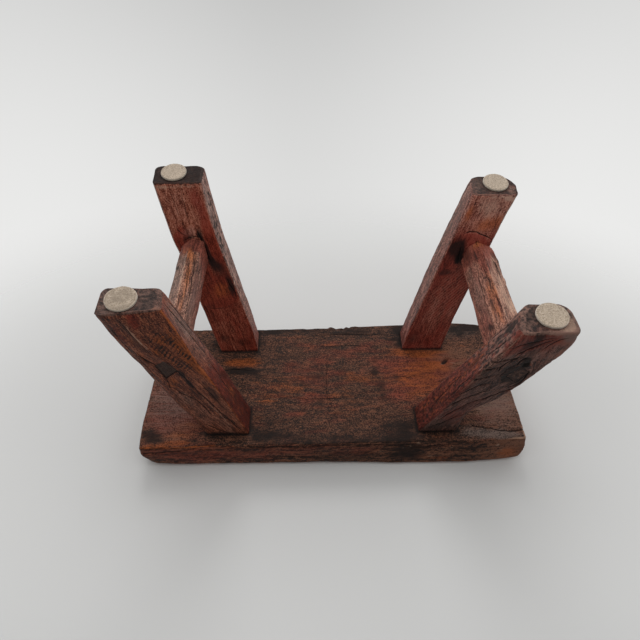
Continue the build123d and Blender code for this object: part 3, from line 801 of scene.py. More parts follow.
        # the grime patch at (124.8, 178.4) is painted shade, a thin shadow beside the edge of the left stretcher where
        # it enters this leg
        ("dark", 112.5, 156.4, 7.0, 4.1, 12, 0.60, 0.70), ("dark", 123.7, 156.5, 8.1, 5.4, 1, 0.35, 0.70), ("grime", 124.8, 178.4, 10.5, 2.8, 82, 0.80, 0.60), ("red", 136.7, 198.2, 9.8, 5.3, -29, 0.58, 0.70), ("grey", 138.0, 197.0, 10.0, 6.0, -25, 0.22, 0.80), ("lift", 112.0, 128.0, 40.0, 14.0, 70, 0.06, 0.80),
        ("warm", 141.3, 194.6, 6.9, 3.1, -36, 0.40, 0.70), ("dark", 160.0, 226.3, 8.1, 1.7, 79, 0.25, 0.80), ("dark", 144.1, 242.4, 5.8, 1.2, 76, 0.15, 0.80), ("dark", 134.3, 228.1, 10.1, 1.3, 77, 0.18, 0.80),
        ("dark", 96.0, 81.5, 20.2, 9.7, 82, 0.40, 0.80), ("dark", 88.0, 55.7, 15.8, 10.1, 14, 0.50, 0.70), ("warm", 112.1, 133.3, 17.9, 5.7, 79, 0.22, 0.80)],
    ("back_left_leg", "side"): [
        ("grey", 87.2, 176.7, 76.8, 13.5, -86, 0.30, 0.80), ("dark", 71.1, 127.0, 55.0, 2.9, -90, 0.25, 0.70), ("worn", 71.0, 243.2, 12.1, 5.2, -71, 0.35, 0.70), ("red", 53.7, 49.2, 33.3, 13.5, -66, 0.80, 0.60),
        ("dark", 72.5, 221.0, 28.0, 2.5, -90, 0.25, 0.60)],
    ("seat", "under"): [
        ("warm", -99.4, 27.1, 22.4, 6.3, 1, 0.85, 0.50), ("warm", -51.7, -8.7, 30.5, 13.1, 3, 0.45, 0.70), ("warm", -76.1, -23.7, 17.1, 7.6, -2, 0.30, 0.80), ("warm", 36.8, 3.2, 22.2, 8.1, -0, 0.42, 0.70),
        ("warm", 70.7, 38.9, 18.5, 7.2, 0, 0.35, 0.70), ("warm", 103.1, 38.5, 27.8, 5.8, -0, 0.75, 0.60), ("warm", 93.5, 13.5, 25.8, 13.7, 17, 0.66, 0.90), ("warm", 107.8, -7.2, 22.5, 11.7, 36, 0.46, 0.85),
        ("warm", 121.1, -26.8, 17.8, 10.8, 46, 0.25, 0.80), ("warm", 123.2, 19.8, 16.0, 7.0, 1, 0.50, 0.60), ("warm", -153.6, -61.1, 17.8, 10.8, 29, 0.42, 0.80), ("warm", -171.9, -75.6, 25.8, 2.8, 5, 0.60, 0.60),
        ("warm", -35.0, 50.6, 34.7, 8.8, -1, 0.22, 0.80), ("warm", 7.6, -25.0, 32.3, 10.1, -1, 0.25, 0.80), ("warm", 177.5, -42.7, 14.2, 10.5, -22, 0.18, 0.80), ("warm", 145.4, 48.1, 23.5, 8.8, 1, 0.25, 0.80),
        ("warm", 84.0, -19.8, 18.7, 9.6, 25, 0.25, 0.80), ("dark", -98.7, 14.7, 20.1, 4.1, -3, 0.85, 0.50), ("dark", -186.4, -66.3, 13.8, 7.6, -17, 0.80, 0.60), ("dark", -83.5, 51.2, 16.2, 5.9, -1, 0.35, 0.70),
        ("dark", 48.6, 11.2, 8.2, 5.6, 81, 0.60, 0.60), ("dark", 53.7, -6.3, 6.9, 6.3, 42, 0.62, 0.60), ("dark", 54.4, -21.9, 6.5, 5.4, 74, 0.60, 0.60), ("dark", 49.0, 27.8, 5.7, 4.2, 4, 0.45, 0.60),
        ("dark", -75.0, -54.2, 22.9, 16.5, -4, 0.42, 0.90), ("dark", -35.6, -72.4, 40.8, 9.1, -1, 0.42, 0.80), ("dark", 15.0, -82.3, 40.6, 5.6, -1, 0.35, 0.80), ("dark", 63.6, -56.6, 19.4, 16.5, 69, 0.48, 0.85),
        ("dark", 41.1, -73.7, 30.8, 8.0, -1, 0.45, 0.80), ("dark", 21.8, -55.9, 14.6, 7.1, -0, 0.30, 0.80), ("dark", 78.2, -65.1, 14.2, 10.3, 76, 0.45, 0.70), ("dark", -121.6, 51.7, 13.4, 11.3, -71, 0.45, 0.70),
        ("dark", -93.8, 70.8, 35.2, 6.1, -1, 0.40, 0.70), ("dark", 0.5, 71.1, 71.0, 6.1, -1, 0.35, 0.70), ("dark", 88.8, 63.9, 18.5, 14.0, 74, 0.55, 0.70), ("dark", 157.5, 69.1, 21.6, 9.2, 1, 0.62, 0.60),
        ("dark", -13.2, 1.3, 19.9, 8.0, -1, 0.22, 0.80), ("dark", -46.5, 29.2, 18.1, 5.6, -1, 0.30, 0.80), ("dark", -63.0, 12.8, 13.4, 4.1, -1, 0.30, 0.80), ("dark", 4.9, 35.5, 11.6, 11.3, 43, 0.25, 0.80),
        ("dark", -35.5, -49.0, 12.6, 7.2, -1, 0.30, 0.80), ("dark", 24.2, -18.9, 10.9, 6.4, 1, 0.30, 0.80), ("dark", 72.4, 2.7, 4.5, 4.0, 19, 0.45, 0.70), ("dark", 159.7, -24.9, 14.6, 8.0, -40, 0.30, 0.80),
        ("dark", -165.7, -6.9, 13.2, 10.2, -14, 0.18, 0.80), ("grey", -171.4, -28.4, 31.3, 28.2, -49, 0.30, 0.90), ("grey", 168.3, -69.0, 26.8, 4.7, -4, 0.70, 0.50), ("grey", 140.7, -66.2, 12.6, 7.0, 4, 0.50, 0.70),
        ("grey", 68.8, -56.7, 14.4, 10.4, 77, 0.25, 0.80), ("grey", 157.5, 69.1, 21.6, 9.2, 1, 0.35, 0.80), ("red", -167.4, -34.6, 40.2, 34.6, -39, 0.55, 0.90), ("red", 173.2, -37.7, 26.6, 23.7, -49, 0.22, 0.90),
        ("red", 98.6, 6.4, 45.3, 33.6, 8, 0.50, 0.80), ("red", -35.3, -5.0, 65.7, 39.5, -1, 0.25, 0.90), ("red", 34.0, 42.3, 46.2, 17.4, -0, 0.20, 0.90)],
    ("seat", "near"): [
        ("red", -138.8, 25.0, 61.3, 15.3, -2, 0.50, 0.80), ("red", -15.1, 27.3, 62.2, 15.2, -2, 0.25, 0.80), ("dark", 77.1, 21.9, 16.3, 12.9, -20, 0.80, 0.85), ("dark", 11.4, 15.3, 44.4, 9.0, -2, 0.40, 0.70),
        ("dark", 106.9, 44.5, 41.3, 4.2, -2, 0.45, 0.70), ("dark", -86.9, 31.9, 34.7, 5.2, -2, 0.30, 0.70), ("warm", -132.0, 37.7, 50.3, 5.5, -2, 0.40, 0.70), ("warm", 108.4, 11.9, 23.7, 5.9, -3, 0.30, 0.80),
        ("warm", 178.5, 18.4, 14.4, 8.7, -12, 0.24, 0.80), ("dark", 141.2, 28.5, 23.3, 6.5, -3, 0.30, 0.80), ("dark", -163.2, 32.3, 21.9, 3.9, -15, 0.50, 0.60), ("worn", 78.8, 32.7, 2.0, 1.6, -63, 1.20, 0.50),
        ("worn", 85.5, 36.8, 2.5, 1.7, 70, 1.10, 0.50), ("worn", 71.8, 30.8, 1.8, 1.2, -74, 1.00, 0.50), ("worn", 170.8, 31.8, 2.1, 1.5, -54, 1.10, 0.50), ("worn", 121.7, 31.3, 1.6, 1.2, -61, 0.90, 0.50),
        ("worn", 47.4, 25.1, 1.6, 1.2, -72, 0.80, 0.50)],
    ("right_stretcher", "bar"): [
        # the two narrow worn strips along the bar's ridge, at 18.4 and 20.4 round it, are a painted highlight
        ("warm", 95.0, 23.6, 24.0, 3.6, -4, 0.50, 0.80), ("worn", 92.0, 18.4, 20.0, 1.3, -3, 0.30, 0.80), ("worn", 64.6, 20.4, 14.7, 0.9, -1, 0.25, 0.60), ("warm", 122.7, 16.1, 14.7, 5.9, -54, 0.55, 0.70),
        ("warm", 61.3, 23.4, 12.4, 2.2, -1, 0.50, 0.60), ("dark", 102.8, 31.3, 15.7, 3.5, -6, 0.40, 0.80), ("dark", 80.5, 31.5, 15.3, 1.9, -2, 0.36, 0.80), ("dark", 111.4, 2.5, 8.9, 2.6, -14, 0.60, 0.70),
        ("dark", 124.0, 3.3, 6.1, 2.6, -21, 0.55, 0.70), ("dark", 88.3, 4.8, 9.2, 2.2, -11, 0.50, 0.70), ("dark", 131.0, 17.4, 8.4, 2.4, -60, 0.45, 0.80), ("dark", 110.9, 26.7, 9.9, 1.3, -6, 0.50, 0.60),
        ("dark", 63.6, 25.8, 9.1, 1.3, -1, 0.45, 0.60), ("red", 135.1, 22.0, 13.7, 7.1, 55, 1.30, 0.60), ("dark", 138.3, 28.0, 9.4, 5.8, 49, 0.35, 0.70), ("red", 130.5, 49.6, 20.4, 12.9, -4, 0.80, 0.70),
        ("red", 82.0, 50.0, 21.5, 14.3, -83, 0.30, 0.80), ("grey", 100.9, 2.8, 24.4, 7.8, -16, 0.20, 0.80), ("grey", 69.6, 35.5, 22.9, 10.9, 14, 0.30, 0.80)],
    ("left_stretcher", "bar"): [
        ("warm", 77.0, 27.5, 14.0, 6.2, 2, 0.52, 0.95), ("warm", 50.8, 29.4, 9.7, 3.6, 9, 0.44, 0.90), ("warm", 143.9, 20.7, 12.7, 4.4, -63, 0.60, 0.70), ("warm", 95.4, 24.9, 8.4, 2.8, 5, 0.32, 0.85),
        ("worn", 73.9, 12.4, 14.7, 6.9, -4, 0.50, 0.80), ("worn", 96.5, 9.5, 10.2, 5.6, -15, 0.40, 0.70), ("worn", 64.6, 6.5, 9.8, 5.5, -32, 0.42, 0.70), ("warm", 71.0, 10.8, 9.7, 5.5, -17, 0.35, 0.80),
        ("dark", 62.1, 25.0, 12.4, 1.5, 3, 0.55, 0.75), ("dark", 112.1, 7.0, 9.0, 3.0, 5, 0.60, 0.70), ("dark", 131.0, 4.7, 7.0, 3.6, 4, 0.60, 0.50), ("dark", 45.5, 43.4, 10.7, 3.6, 55, 0.66, 0.80),
        ("dark", 64.5, 32.6, 9.2, 1.8, 4, 0.45, 0.60), ("dark", 111.4, 23.2, 10.3, 1.9, 4, 0.45, 0.60), ("dark", 112.2, 34.4, 17.6, 1.8, -2, 0.30, 0.70), ("dark", 84.7, 35.6, 16.6, 1.5, 0, 0.30, 0.70),
        ("dark", 135.6, 43.3, 17.1, 7.3, 47, 0.55, 0.70), ("red", 136.2, 25.2, 18.3, 9.9, 14, 1.20, 0.70), ("red", 116.1, 24.2, 11.9, 5.3, 10, 0.60, 0.80), ("grey", 85.6, 44.9, 33.3, 8.6, 1, 0.25, 0.80),
        ("grey", 106.9, 1.5, 14.1, 7.0, -2, 0.10, 0.70)],
    ("legs", "end"): [
        ("dark", -150.5, -66.0, 9.5, 12.0, -20, 0.45, 0.95), ("dark", -145.0, -62.0, 3.0, 13.0, -12, 0.70, 0.80), ("dark", -147.0, -76.5, 12.0, 3.0, 8, 0.60, 0.70), ("grey", -152.4, -58.2, 7.5, 4.5, -66, 0.20, 0.90), ("grey", -180.8, -65.9, 12.5, 3.6, -77, 0.35, 0.70), ("red", -152.6, -74.2, 11.5, 3.1, 10, 0.20, 0.70), ("worn", -160.5, -79.5, 18.5, 1.6, 10, 0.35, 0.60),
        ("dark", -167.9, -79.0, 10.2, 2.0, -1, 0.30, 0.70), ("dark", -132.5, 93.5, 12.6, 8.2, -79, 0.95, 0.60), ("dark", -163.7, 85.9, 9.4, 6.3, -74, 0.30, 0.70), ("grey", -164.5, 95.5, 8.0, 7.0, 0, 0.45, 0.90), ("grey", -131.8, 95.1, 9.5, 7.3, -74, 0.12, 0.80),
        ("red", -147.2, 79.0, 20.0, 2.4, -0, 0.40, 0.70), ("worn", 166.2, -95.6, 14.3, 4.6, 62, 1.05, 0.85), ("grey", 166.3, -87.9, 14.8, 4.2, 54, 0.80, 0.70), ("worn", 155.3, -102.1, 8.6, 2.6, 26, 0.45, 0.70),
        ("red", 146.5, -102.0, 8.5, 3.9, -9, 0.80, 0.70), ("dark", 138.6, -81.6, 10.6, 5.0, 62, 0.85, 0.75), ("dark", 146.1, -73.6, 6.6, 2.3, 15, 0.50, 0.70), ("warm", 141.8, -100.1, 6.2, 2.6, -19, 0.35, 0.70),
        ("warm", 146.8, 65.3, 16.1, 3.0, -10, 0.40, 0.70), ("grey", 130.5, 75.8, 11.9, 5.7, 82, 0.45, 0.70), ("worn", 161.0, 66.7, 6.4, 4.3, 79, 0.55, 0.70), ("dark", 134.6, 81.9, 7.8, 5.9, 19, 0.35, 0.70),
        ("dark", 148.1, 66.8, 12.5, 2.2, -13, 0.35, 0.70)],
}
# Splits and scored lines: (points, half width, taper at the two ends).
SPLITS = {
    ("front_right_leg", "front"): [
        ([(-168.8, 244.5), (-166.9, 234.5), (-164.3, 223.4), (-161.1, 213.8), (-157.6, 201.8), (-154.7, 192.9), (-151.0, 187.4), (-146.0, 186.1)], 0.26, (0.05, 0.15)),
        ([(-146.1, 185.7), (-142.2, 177.6), (-138.8, 167.6), (-134.8, 157.5), (-131.6, 144.9), (-126.7, 131.2), (-119.4, 112.0), (-110.1, 88.4), (-99.4, 61.0), (-90.1, 40.1)], 0.44, (0.10, 0.10)),
        ([(-178.5, 237.6), (-176.2, 220.6), (-172.3, 202.2), (-167.5, 185.5), (-163.4, 171.1), (-159.1, 159.3)], 0.34, (0.20, 0.20)),
        ([(-164.2, 189.6), (-161.5, 183.3), (-157.4, 179.9), (-155.3, 176.0)], 0.50, (0.20, 0.10)),
        ([(-155.3, 176.0), (-153.4, 167.0), (-150.2, 155.1), (-150.0, 139.8), (-142.5, 127.5), (-133.1, 118.5), (-125.5, 101.5), (-118.9, 79.4)], 0.36, (0.10, 0.20)),
        ([(-150.2, 155.1), (-144.3, 161.4), (-138.8, 167.6)], 0.40, (0.10, 0.10)),
        ([(-150.1, 109.7), (-144.4, 89.1), (-137.2, 67.1), (-133.0, 48.5)], 0.42, (0.20, 0.10)),
        ([(-166.1, 198.6), (-162.9, 188.0), (-158.7, 181.5)], 0.30, (0.30, 0.30)),
        ([(-124.8, 155.2), (-118.8, 136.2), (-112.5, 115.5), (-105.5, 95.4)], 0.32, (0.30, 0.30)),
        ([(-129.4, 66.7), (-118.3, 52.6), (-105.2, 42.7)], 0.60, (0.20, 0.20))],
    ("front_right_leg", "side"): [
        ([(-65.6, 244.4), (-62.9, 229.8), (-60.1, 210.5), (-57.1, 185.6), (-54.8, 162.8)], 0.34, (0.10, 0.30)),
        ([(-57.3, 237.6), (-54.2, 218.6), (-50.9, 194.1), (-48.2, 167.2)], 0.34, (0.10, 0.30)),
        ([(-51.4, 229.9), (-48.4, 208.0), (-45.6, 182.2)], 0.28, (0.20, 0.30)),
        ([(-56.6, 156.3), (-55.4, 132.9), (-53.5, 101.7)], 0.28, (0.30, 0.30))],
    ("front_left_leg", "front"): [
        ([(99.4, 72.3), (109.9, 96.6), (120.3, 116.5), (133.5, 129.3), (143.8, 143.9), (153.2, 153.5), (157.1, 162.9)], 0.68, (0.15, 0.15)),
        ([(101.9, 106.8), (111.2, 123.8), (120.8, 136.4), (130.6, 146.3), (139.4, 152.7)], 0.61, (0.20, 0.20)),
        ([(107.5, 135.5), (113.8, 149.9), (121.8, 159.4), (131.6, 164.4)], 0.59, (0.20, 0.30)),
        ([(108.4, 157.5), (114.7, 169.8), (123.0, 176.7), (130.0, 181.5)], 0.59, (0.20, 0.30)),
        ([(109.4, 174.0), (115.0, 184.6), (122.2, 191.2), (128.8, 196.6)], 0.74, (0.20, 0.30)),
        ([(111.5, 191.4), (117.4, 199.6), (123.6, 205.8), (131.9, 210.0), (139.4, 215.9)], 0.68, (0.20, 0.30)),
        ([(127.5, 187.3), (127.4, 195.7), (130.6, 203.8), (135.6, 210.8), (140.3, 213.3)], 0.59, (0.10, 0.20)),
        ([(138.1, 157.0), (147.2, 155.7), (152.9, 165.0), (153.4, 179.1), (152.0, 190.6)], 0.68, (0.20, 0.20)),
        ([(124.2, 224.6), (130.8, 231.6), (137.9, 237.4), (146.1, 241.0), (156.7, 243.6)], 0.41, (0.20, 0.30)),
        ([(132.1, 214.3), (139.1, 226.0), (147.2, 235.5), (155.9, 242.3)], 0.68, (0.20, 0.30)),
        ([(149.0, 224.1), (153.1, 233.8), (159.0, 239.9), (164.6, 242.9)], 0.54, (0.30, 0.30)),
        ([(139.4, 196.4), (139.7, 205.4), (142.4, 211.5), (146.1, 212.3)], 0.68, (0.20, 0.20)),
        ([(94.1, 52.2), (106.2, 63.6), (115.8, 83.1), (127.9, 93.8)], 0.61, (0.20, 0.30))],
    ("front_left_leg", "side"): [
        ([(-57.7, 168.1), (-64.7, 192.6), (-72.6, 216.6), (-78.5, 235.9)], 0.34, (0.30, 0.20)),
        ([(-60.5, 77.1), (-62.1, 104.7), (-64.2, 129.7), (-68.8, 152.1)], 0.34, (0.30, 0.30)),
        ([(-71.6, 109.1), (-75.5, 133.5), (-80.0, 155.8), (-85.3, 178.2)], 0.30, (0.30, 0.30)),
        ([(-81.1, 193.5), (-86.0, 213.1), (-92.4, 231.1)], 0.45, (0.30, 0.30))],
    ("back_right_leg", "front"): [
        ([(-134.4, 202.3), (-132.0, 194.0), (-129.9, 187.3), (-127.5, 178.1), (-125.6, 168.8), (-123.0, 160.5)], 0.95, (0.25, 0.30)),
        ([(-147.7, 187.3), (-142.4, 190.6), (-136.2, 192.8), (-131.5, 191.1)], 0.36, (0.20, 0.20)),
        ([(-153.1, 202.0), (-149.1, 196.5), (-143.7, 193.1)], 0.34, (0.30, 0.30)),
        ([(-143.1, 245.3), (-142.5, 233.3), (-141.2, 218.9), (-139.1, 206.1)], 0.16, (0.30, 0.30)),
        ([(-110.2, 145.7), (-107.0, 135.7), (-102.6, 125.4), (-101.4, 115.0)], 0.40, (0.30, 0.30)),
        ([(-136.1, 107.5), (-126.9, 103.4), (-114.0, 104.5), (-107.1, 109.7)], 0.20, (0.30, 0.30)),
        ([(-152.8, 241.5), (-150.3, 227.3), (-147.1, 210.6)], 0.12, (0.30, 0.30))],
    ("back_right_leg", "side"): [
        ([(89.3, 231.2), (88.1, 219.2), (85.8, 206.4)], 0.40, (0.30, 0.30)),
        ([(81.6, 204.8), (80.2, 192.0), (76.6, 178.1), (74.0, 164.1)], 0.45, (0.30, 0.30)),
        ([(67.8, 158.7), (65.4, 140.9), (65.7, 119.4)], 0.30, (0.30, 0.30))],
    ("back_left_leg", "front"): [
        ([(124.0, 205.7), (128.9, 207.8), (135.8, 207.2), (142.7, 204.2), (148.8, 200.5), (152.3, 197.8)], 0.62, (0.10, 0.20)),
        ([(123.5, 190.8), (124.0, 179.7), (124.4, 167.0)], 0.70, (0.30, 0.40)),
        ([(135.9, 246.5), (133.8, 234.7), (132.8, 221.4)], 0.14, (0.30, 0.30)),
        ([(153.7, 244.7), (152.4, 230.6), (150.4, 214.8)], 0.12, (0.30, 0.30))],
    ("seat", "under"): [
        ([(150.1, -55.7), (157.9, -58.8), (168.1, -60.7), (180.1, -63.7), (191.3, -65.0), (197.7, -64.8)], 0.42, (0.15, 0.00))],
    ("right_stretcher", "bar"): [
        ([(130.2, -1.6), (112.1, -0.5), (90.6, 1.3), (73.2, 1.9)], 0.45, (0.20, 0.30)),
        ([(118.0, 9.8), (99.7, 10.1), (78.9, 11.6)], 0.35, (0.30, 0.30)),
        ([(119.0, 27.3), (96.4, 28.4), (74.8, 29.5), (51.7, 30.1)], 0.40, (0.20, 0.30)),
        ([(118.2, 36.7), (95.8, 40.3), (75.7, 42.6)], 0.34, (0.30, 0.30)),
        ([(108.9, 22.9), (87.0, 24.6), (63.6, 25.8)], 0.30, (0.30, 0.30))],
    ("left_stretcher", "bar"): [
        ([(129.6, 12.8), (117.7, 9.2), (105.6, 6.8), (92.8, 6.6)], 0.50, (0.20, 0.30)),
        ([(139.8, 3.9), (124.5, 1.1), (109.2, -0.4)], 0.40, (0.30, 0.30)),
        ([(76.7, 25.3), (65.6, 25.0), (54.9, 24.7), (47.1, 25.2)], 0.34, (0.20, 0.30)),
        ([(108.0, 28.1), (90.8, 27.7), (72.3, 27.9)], 0.30, (0.30, 0.30)),
        ([(120.3, 34.5), (97.8, 36.4), (71.1, 37.5), (52.1, 37.4)], 0.30, (0.30, 0.30)),
        ([(120.2, 44.5), (96.7, 50.7), (70.2, 51.5)], 0.26, (0.30, 0.30))],
}


def spots(m, a, b, key, on, P, q):
    """Adds the patches of one face to its masks, with edges that wander."""
    wa, wb = 1.7 * P(q + 7, (8, 4.5, 4.5)), 1.7 * P(q + 57, (8, 4.5, 4.5))
    for ch, ca, cb, ra, rb, deg, amount, soft in SPOTS.get(key, []):
        m[ch] += blob(a + wa, b + wb, ca, cb, ra + 0.3, rb + 0.3, deg, soft) * on * amount


def splits(key, seed, step=6, amp=0.35):
    return [(wiggle(p, step, amp, seed + k), w, t) for k, (p, w, t) in enumerate(SPLITS.get(key, []))]


def leg_surface(name, co, faces, kind, W, E):
    """Hewn undulation, wear, chips and cracks in the shape, and the masks of the finish."""
    L = LEGS[name]
    P = Perlin(L["seed"] + 1)
    x, y, z = co.T
    shaft = kind == 0
    foot = kind == 3
    wf, wr, wb, wl = W.T
    xg = np.interp(z, [p[0] for p in L["axis"]], [p[1] for p in L["axis"]])
    yc = np.interp(z, [42, 248.6], [np.mean([c[0][2] for c in L["c"]]), np.mean([c[-1][2] for c in L["c"]])])
    lean = math.hypot(np.mean([c[-1][1] - c[0][1] for c in L["c"]]), np.mean([c[-1][2] - c[0][2] for c in L["c"]])) / DROP
    s = (z - SEAT_T) * math.sqrt(1 + lean * lean)
    t, u = x - xg, y - yc
    edge = E.max(1)
    q = np.stack([s, t, u], 1)
    nrm = normals_of(co, faces)
    d = 0.50 * P(q, (34, 17, 17)) + 0.26 * P(q, (15, 6.5, 6.5)) + 0.13 * P.fbm(q, (14, 2.0, 2.0), 2)
    dent = np.maximum(0, P(q, (13, 7, 7)) - 0.18) + 0.6 * np.maximum(0, P(q + 40, (5, 4, 4)) - 0.3)
    d = d - edge * (0.25 + 1.5 * dent)
    masks = dict(dark=np.zeros(len(co)), warm=np.zeros(len(co)), grey=np.zeros(len(co)), worn=edge * 0.35,
                 grime=np.zeros(len(co)), red=np.zeros(len(co)), lift=np.zeros(len(co)), calm=np.full(len(co), 0.15), end=np.where(foot | (kind == 4), 1.0, 0.0))
    # painted shade: the first 4.5 mm of each leg below the seat's underside is darkened, the shadow in the corner
    masks["grime"] += (1 - sm(z, SEAT_T + 0.3, SEAT_T + 4.5)) * shaft * 0.75
    if name.startswith("front"):        # tenon comes out of the front face, the bar goes in at the rear
        out_face, in_face = wf, wb
    else:
        out_face, in_face = wb, wf
    masks["grime"] += np.exp(-(joint_distance(name, x, y, z, True) / 1.1) ** 2) * out_face * shaft * 0.9
    jd = joint_distance(name, x, y, z, False)
    line_on = {"back_left_leg": 0.25, "back_right_leg": 0.5}.get(name, 1.0)
    # painted shade where the bar goes into the leg: a dark line for the gap's shadow and a softer band about 5 mm wide
    # round it
    masks["grime"] += (np.exp(-(jd / 1.0) ** 2) * (0.30 + 0.7 * P(q + 15, (6, 4, 4))) * line_on + np.exp(-(jd / 5.0) ** 2) * 0.12) * in_face * shaft
    f = np.full(len(co), 9.0)
    w = np.full(len(co), -1.0)
    d, q, f, w = DETAIL[name](L, P, x, y, z, s, t, u, W, E, edge, shaft, foot, d, q, masks, f, w)
    fade = np.where(shaft, sm(z, SEAT_T, SEAT_T + 3) * sm(END_Z - z, 0.0, 5.0) * 0.9 + 0.1, 0.0)
    groove = np.clip(1 - np.abs(f) / np.maximum(w + 0.9, 0.05), 0, 1) * (w > 0)
    cut = (0.25 + 0.9 * np.clip(w, 0, 1.2)) * groove
    d = d * fade - cut * shaft
    # sawn end: shallow saw lines and a little unevenness
    saw = 0.10 * np.sin((x * 0.35 + y) * 2 * math.pi / 2.7 + 1.2 * P(q, (6, 6, 6))) + 0.16 * P(q, (6, 6, 6)) - 0.18
    d = np.where(foot, np.minimum(saw, 0.0) * 1.0, d)
    co = co + nrm * d[:, None]
    co[:, 2] = np.minimum(co[:, 2], END_Z)
    # sawn ends: near black, a touch of grey
    m = masks
    for key in ("dark", "warm", "grey", "worn", "grime", "red"):
        if key != "red":
            m[key] = np.where(foot, 0.0, m[key])
    spots(m, x, y, ("legs", "end"), foot * 1.0, P, np.stack([x, y, z * 0], 1))
    m["red"] = m["red"] * np.where(foot & (name != "front_left_leg"), 0.25, 1.0)
    m["dark"] = np.where(foot, {"front_left_leg": 0.64, "back_left_leg": 0.96, "front_right_leg": 0.60}.get(name, 1.05) + 0.4 * m["dark"] - 0.40 * np.clip(m["grey"] + m["worn"], 0, 1), m["dark"])
    m["grey"] = np.where(foot, (0.0 if name == "back_right_leg" else 0.30) + m["grey"], m["grey"])
    m["lift"] = np.where(foot, 0.24 * P(q + 3, (6, 4, 4)) + 0.30 * P(q + 4, (2.2, 2.2, 2.2)), m["lift"])
    m["dark"] = np.where(kind == 4, 0.55, m["dark"])
    m["grime"] = np.where(foot, 0.50 if name == "back_right_leg" else 0.0, m["grime"])
    low, high = (2.9, 1.0) if name.startswith("front") else (2.0, 0.3)
    rim = sm(z + 0.6 * P(q + 19, (5, 2.5, 2.5)) + 0.4 * P(q + 23, (1.5, 1.5, 1.5)), END_Z - low, END_Z - high) * shaft
    m["end"] = np.maximum(m["end"], rim * 0.95)
    m["worn"] = m["worn"] * (1 - 0.85 * rim)
    m["red"] = m["red"] * (1 - 0.70 * rim)
    m["dark"] = np.maximum(m["dark"], rim * {"front_left_leg": 0.30 - 0.25 * blob(x, y, 174, -92, 14, 16, 0, 0.7), "back_right_leg": 1.0, "back_left_leg": 0.5}.get(name, 0.50))
    at = dict(gr=q, ma=np.stack([m["dark"], m["warm"], m["grey"]], 1), mb=np.stack([m["worn"], m["grime"], m["red"]], 1),
              ck=np.stack([f, w, m["end"]], 1))
    # painted shade by side: the rear and outer faces are made darker than the front and inner faces, whose tones hold
    # the light that falls on them; on the rear legs also less red
    away = (wb + (wl if name.endswith("right_leg") else wr)) * shaft
    m["lift"] -= away * {"back_left_leg": 0.27, "back_right_leg": 0.24}.get(name, 0.08)
    m["red"] -= away * (0.20 if name.startswith("back") else 0.0)
    m["dark"] += away * (0.14 if name.startswith("back") else 0.0)
    m["calm"] += away * 0.40
    at["ma"], at["mb"] = np.stack([m["dark"], m["warm"], m["grey"]], 1), np.stack([m["worn"], m["grime"], m["red"]], 1)
    at["lf"], at["cm"] = m["lift"], np.clip(m["calm"], 0, 1)
    if "saw" in m:
        at["sw"] = np.stack([m["saw"], m["saw_on"], 0 * x], 1)
    return co, at


def round_knot(s, t, s0, t0, R, stretch):
    """Grain flowing round a knot: the across coordinate is squeezed past it."""
    a, b = (s - s0) / stretch, t - t0
    r2 = a * a + b * b
    return t0 + b * np.sqrt(np.maximum(1 - (R * R) / np.maximum(r2, R * R * 1.0001), 0.02)), np.sqrt(r2)


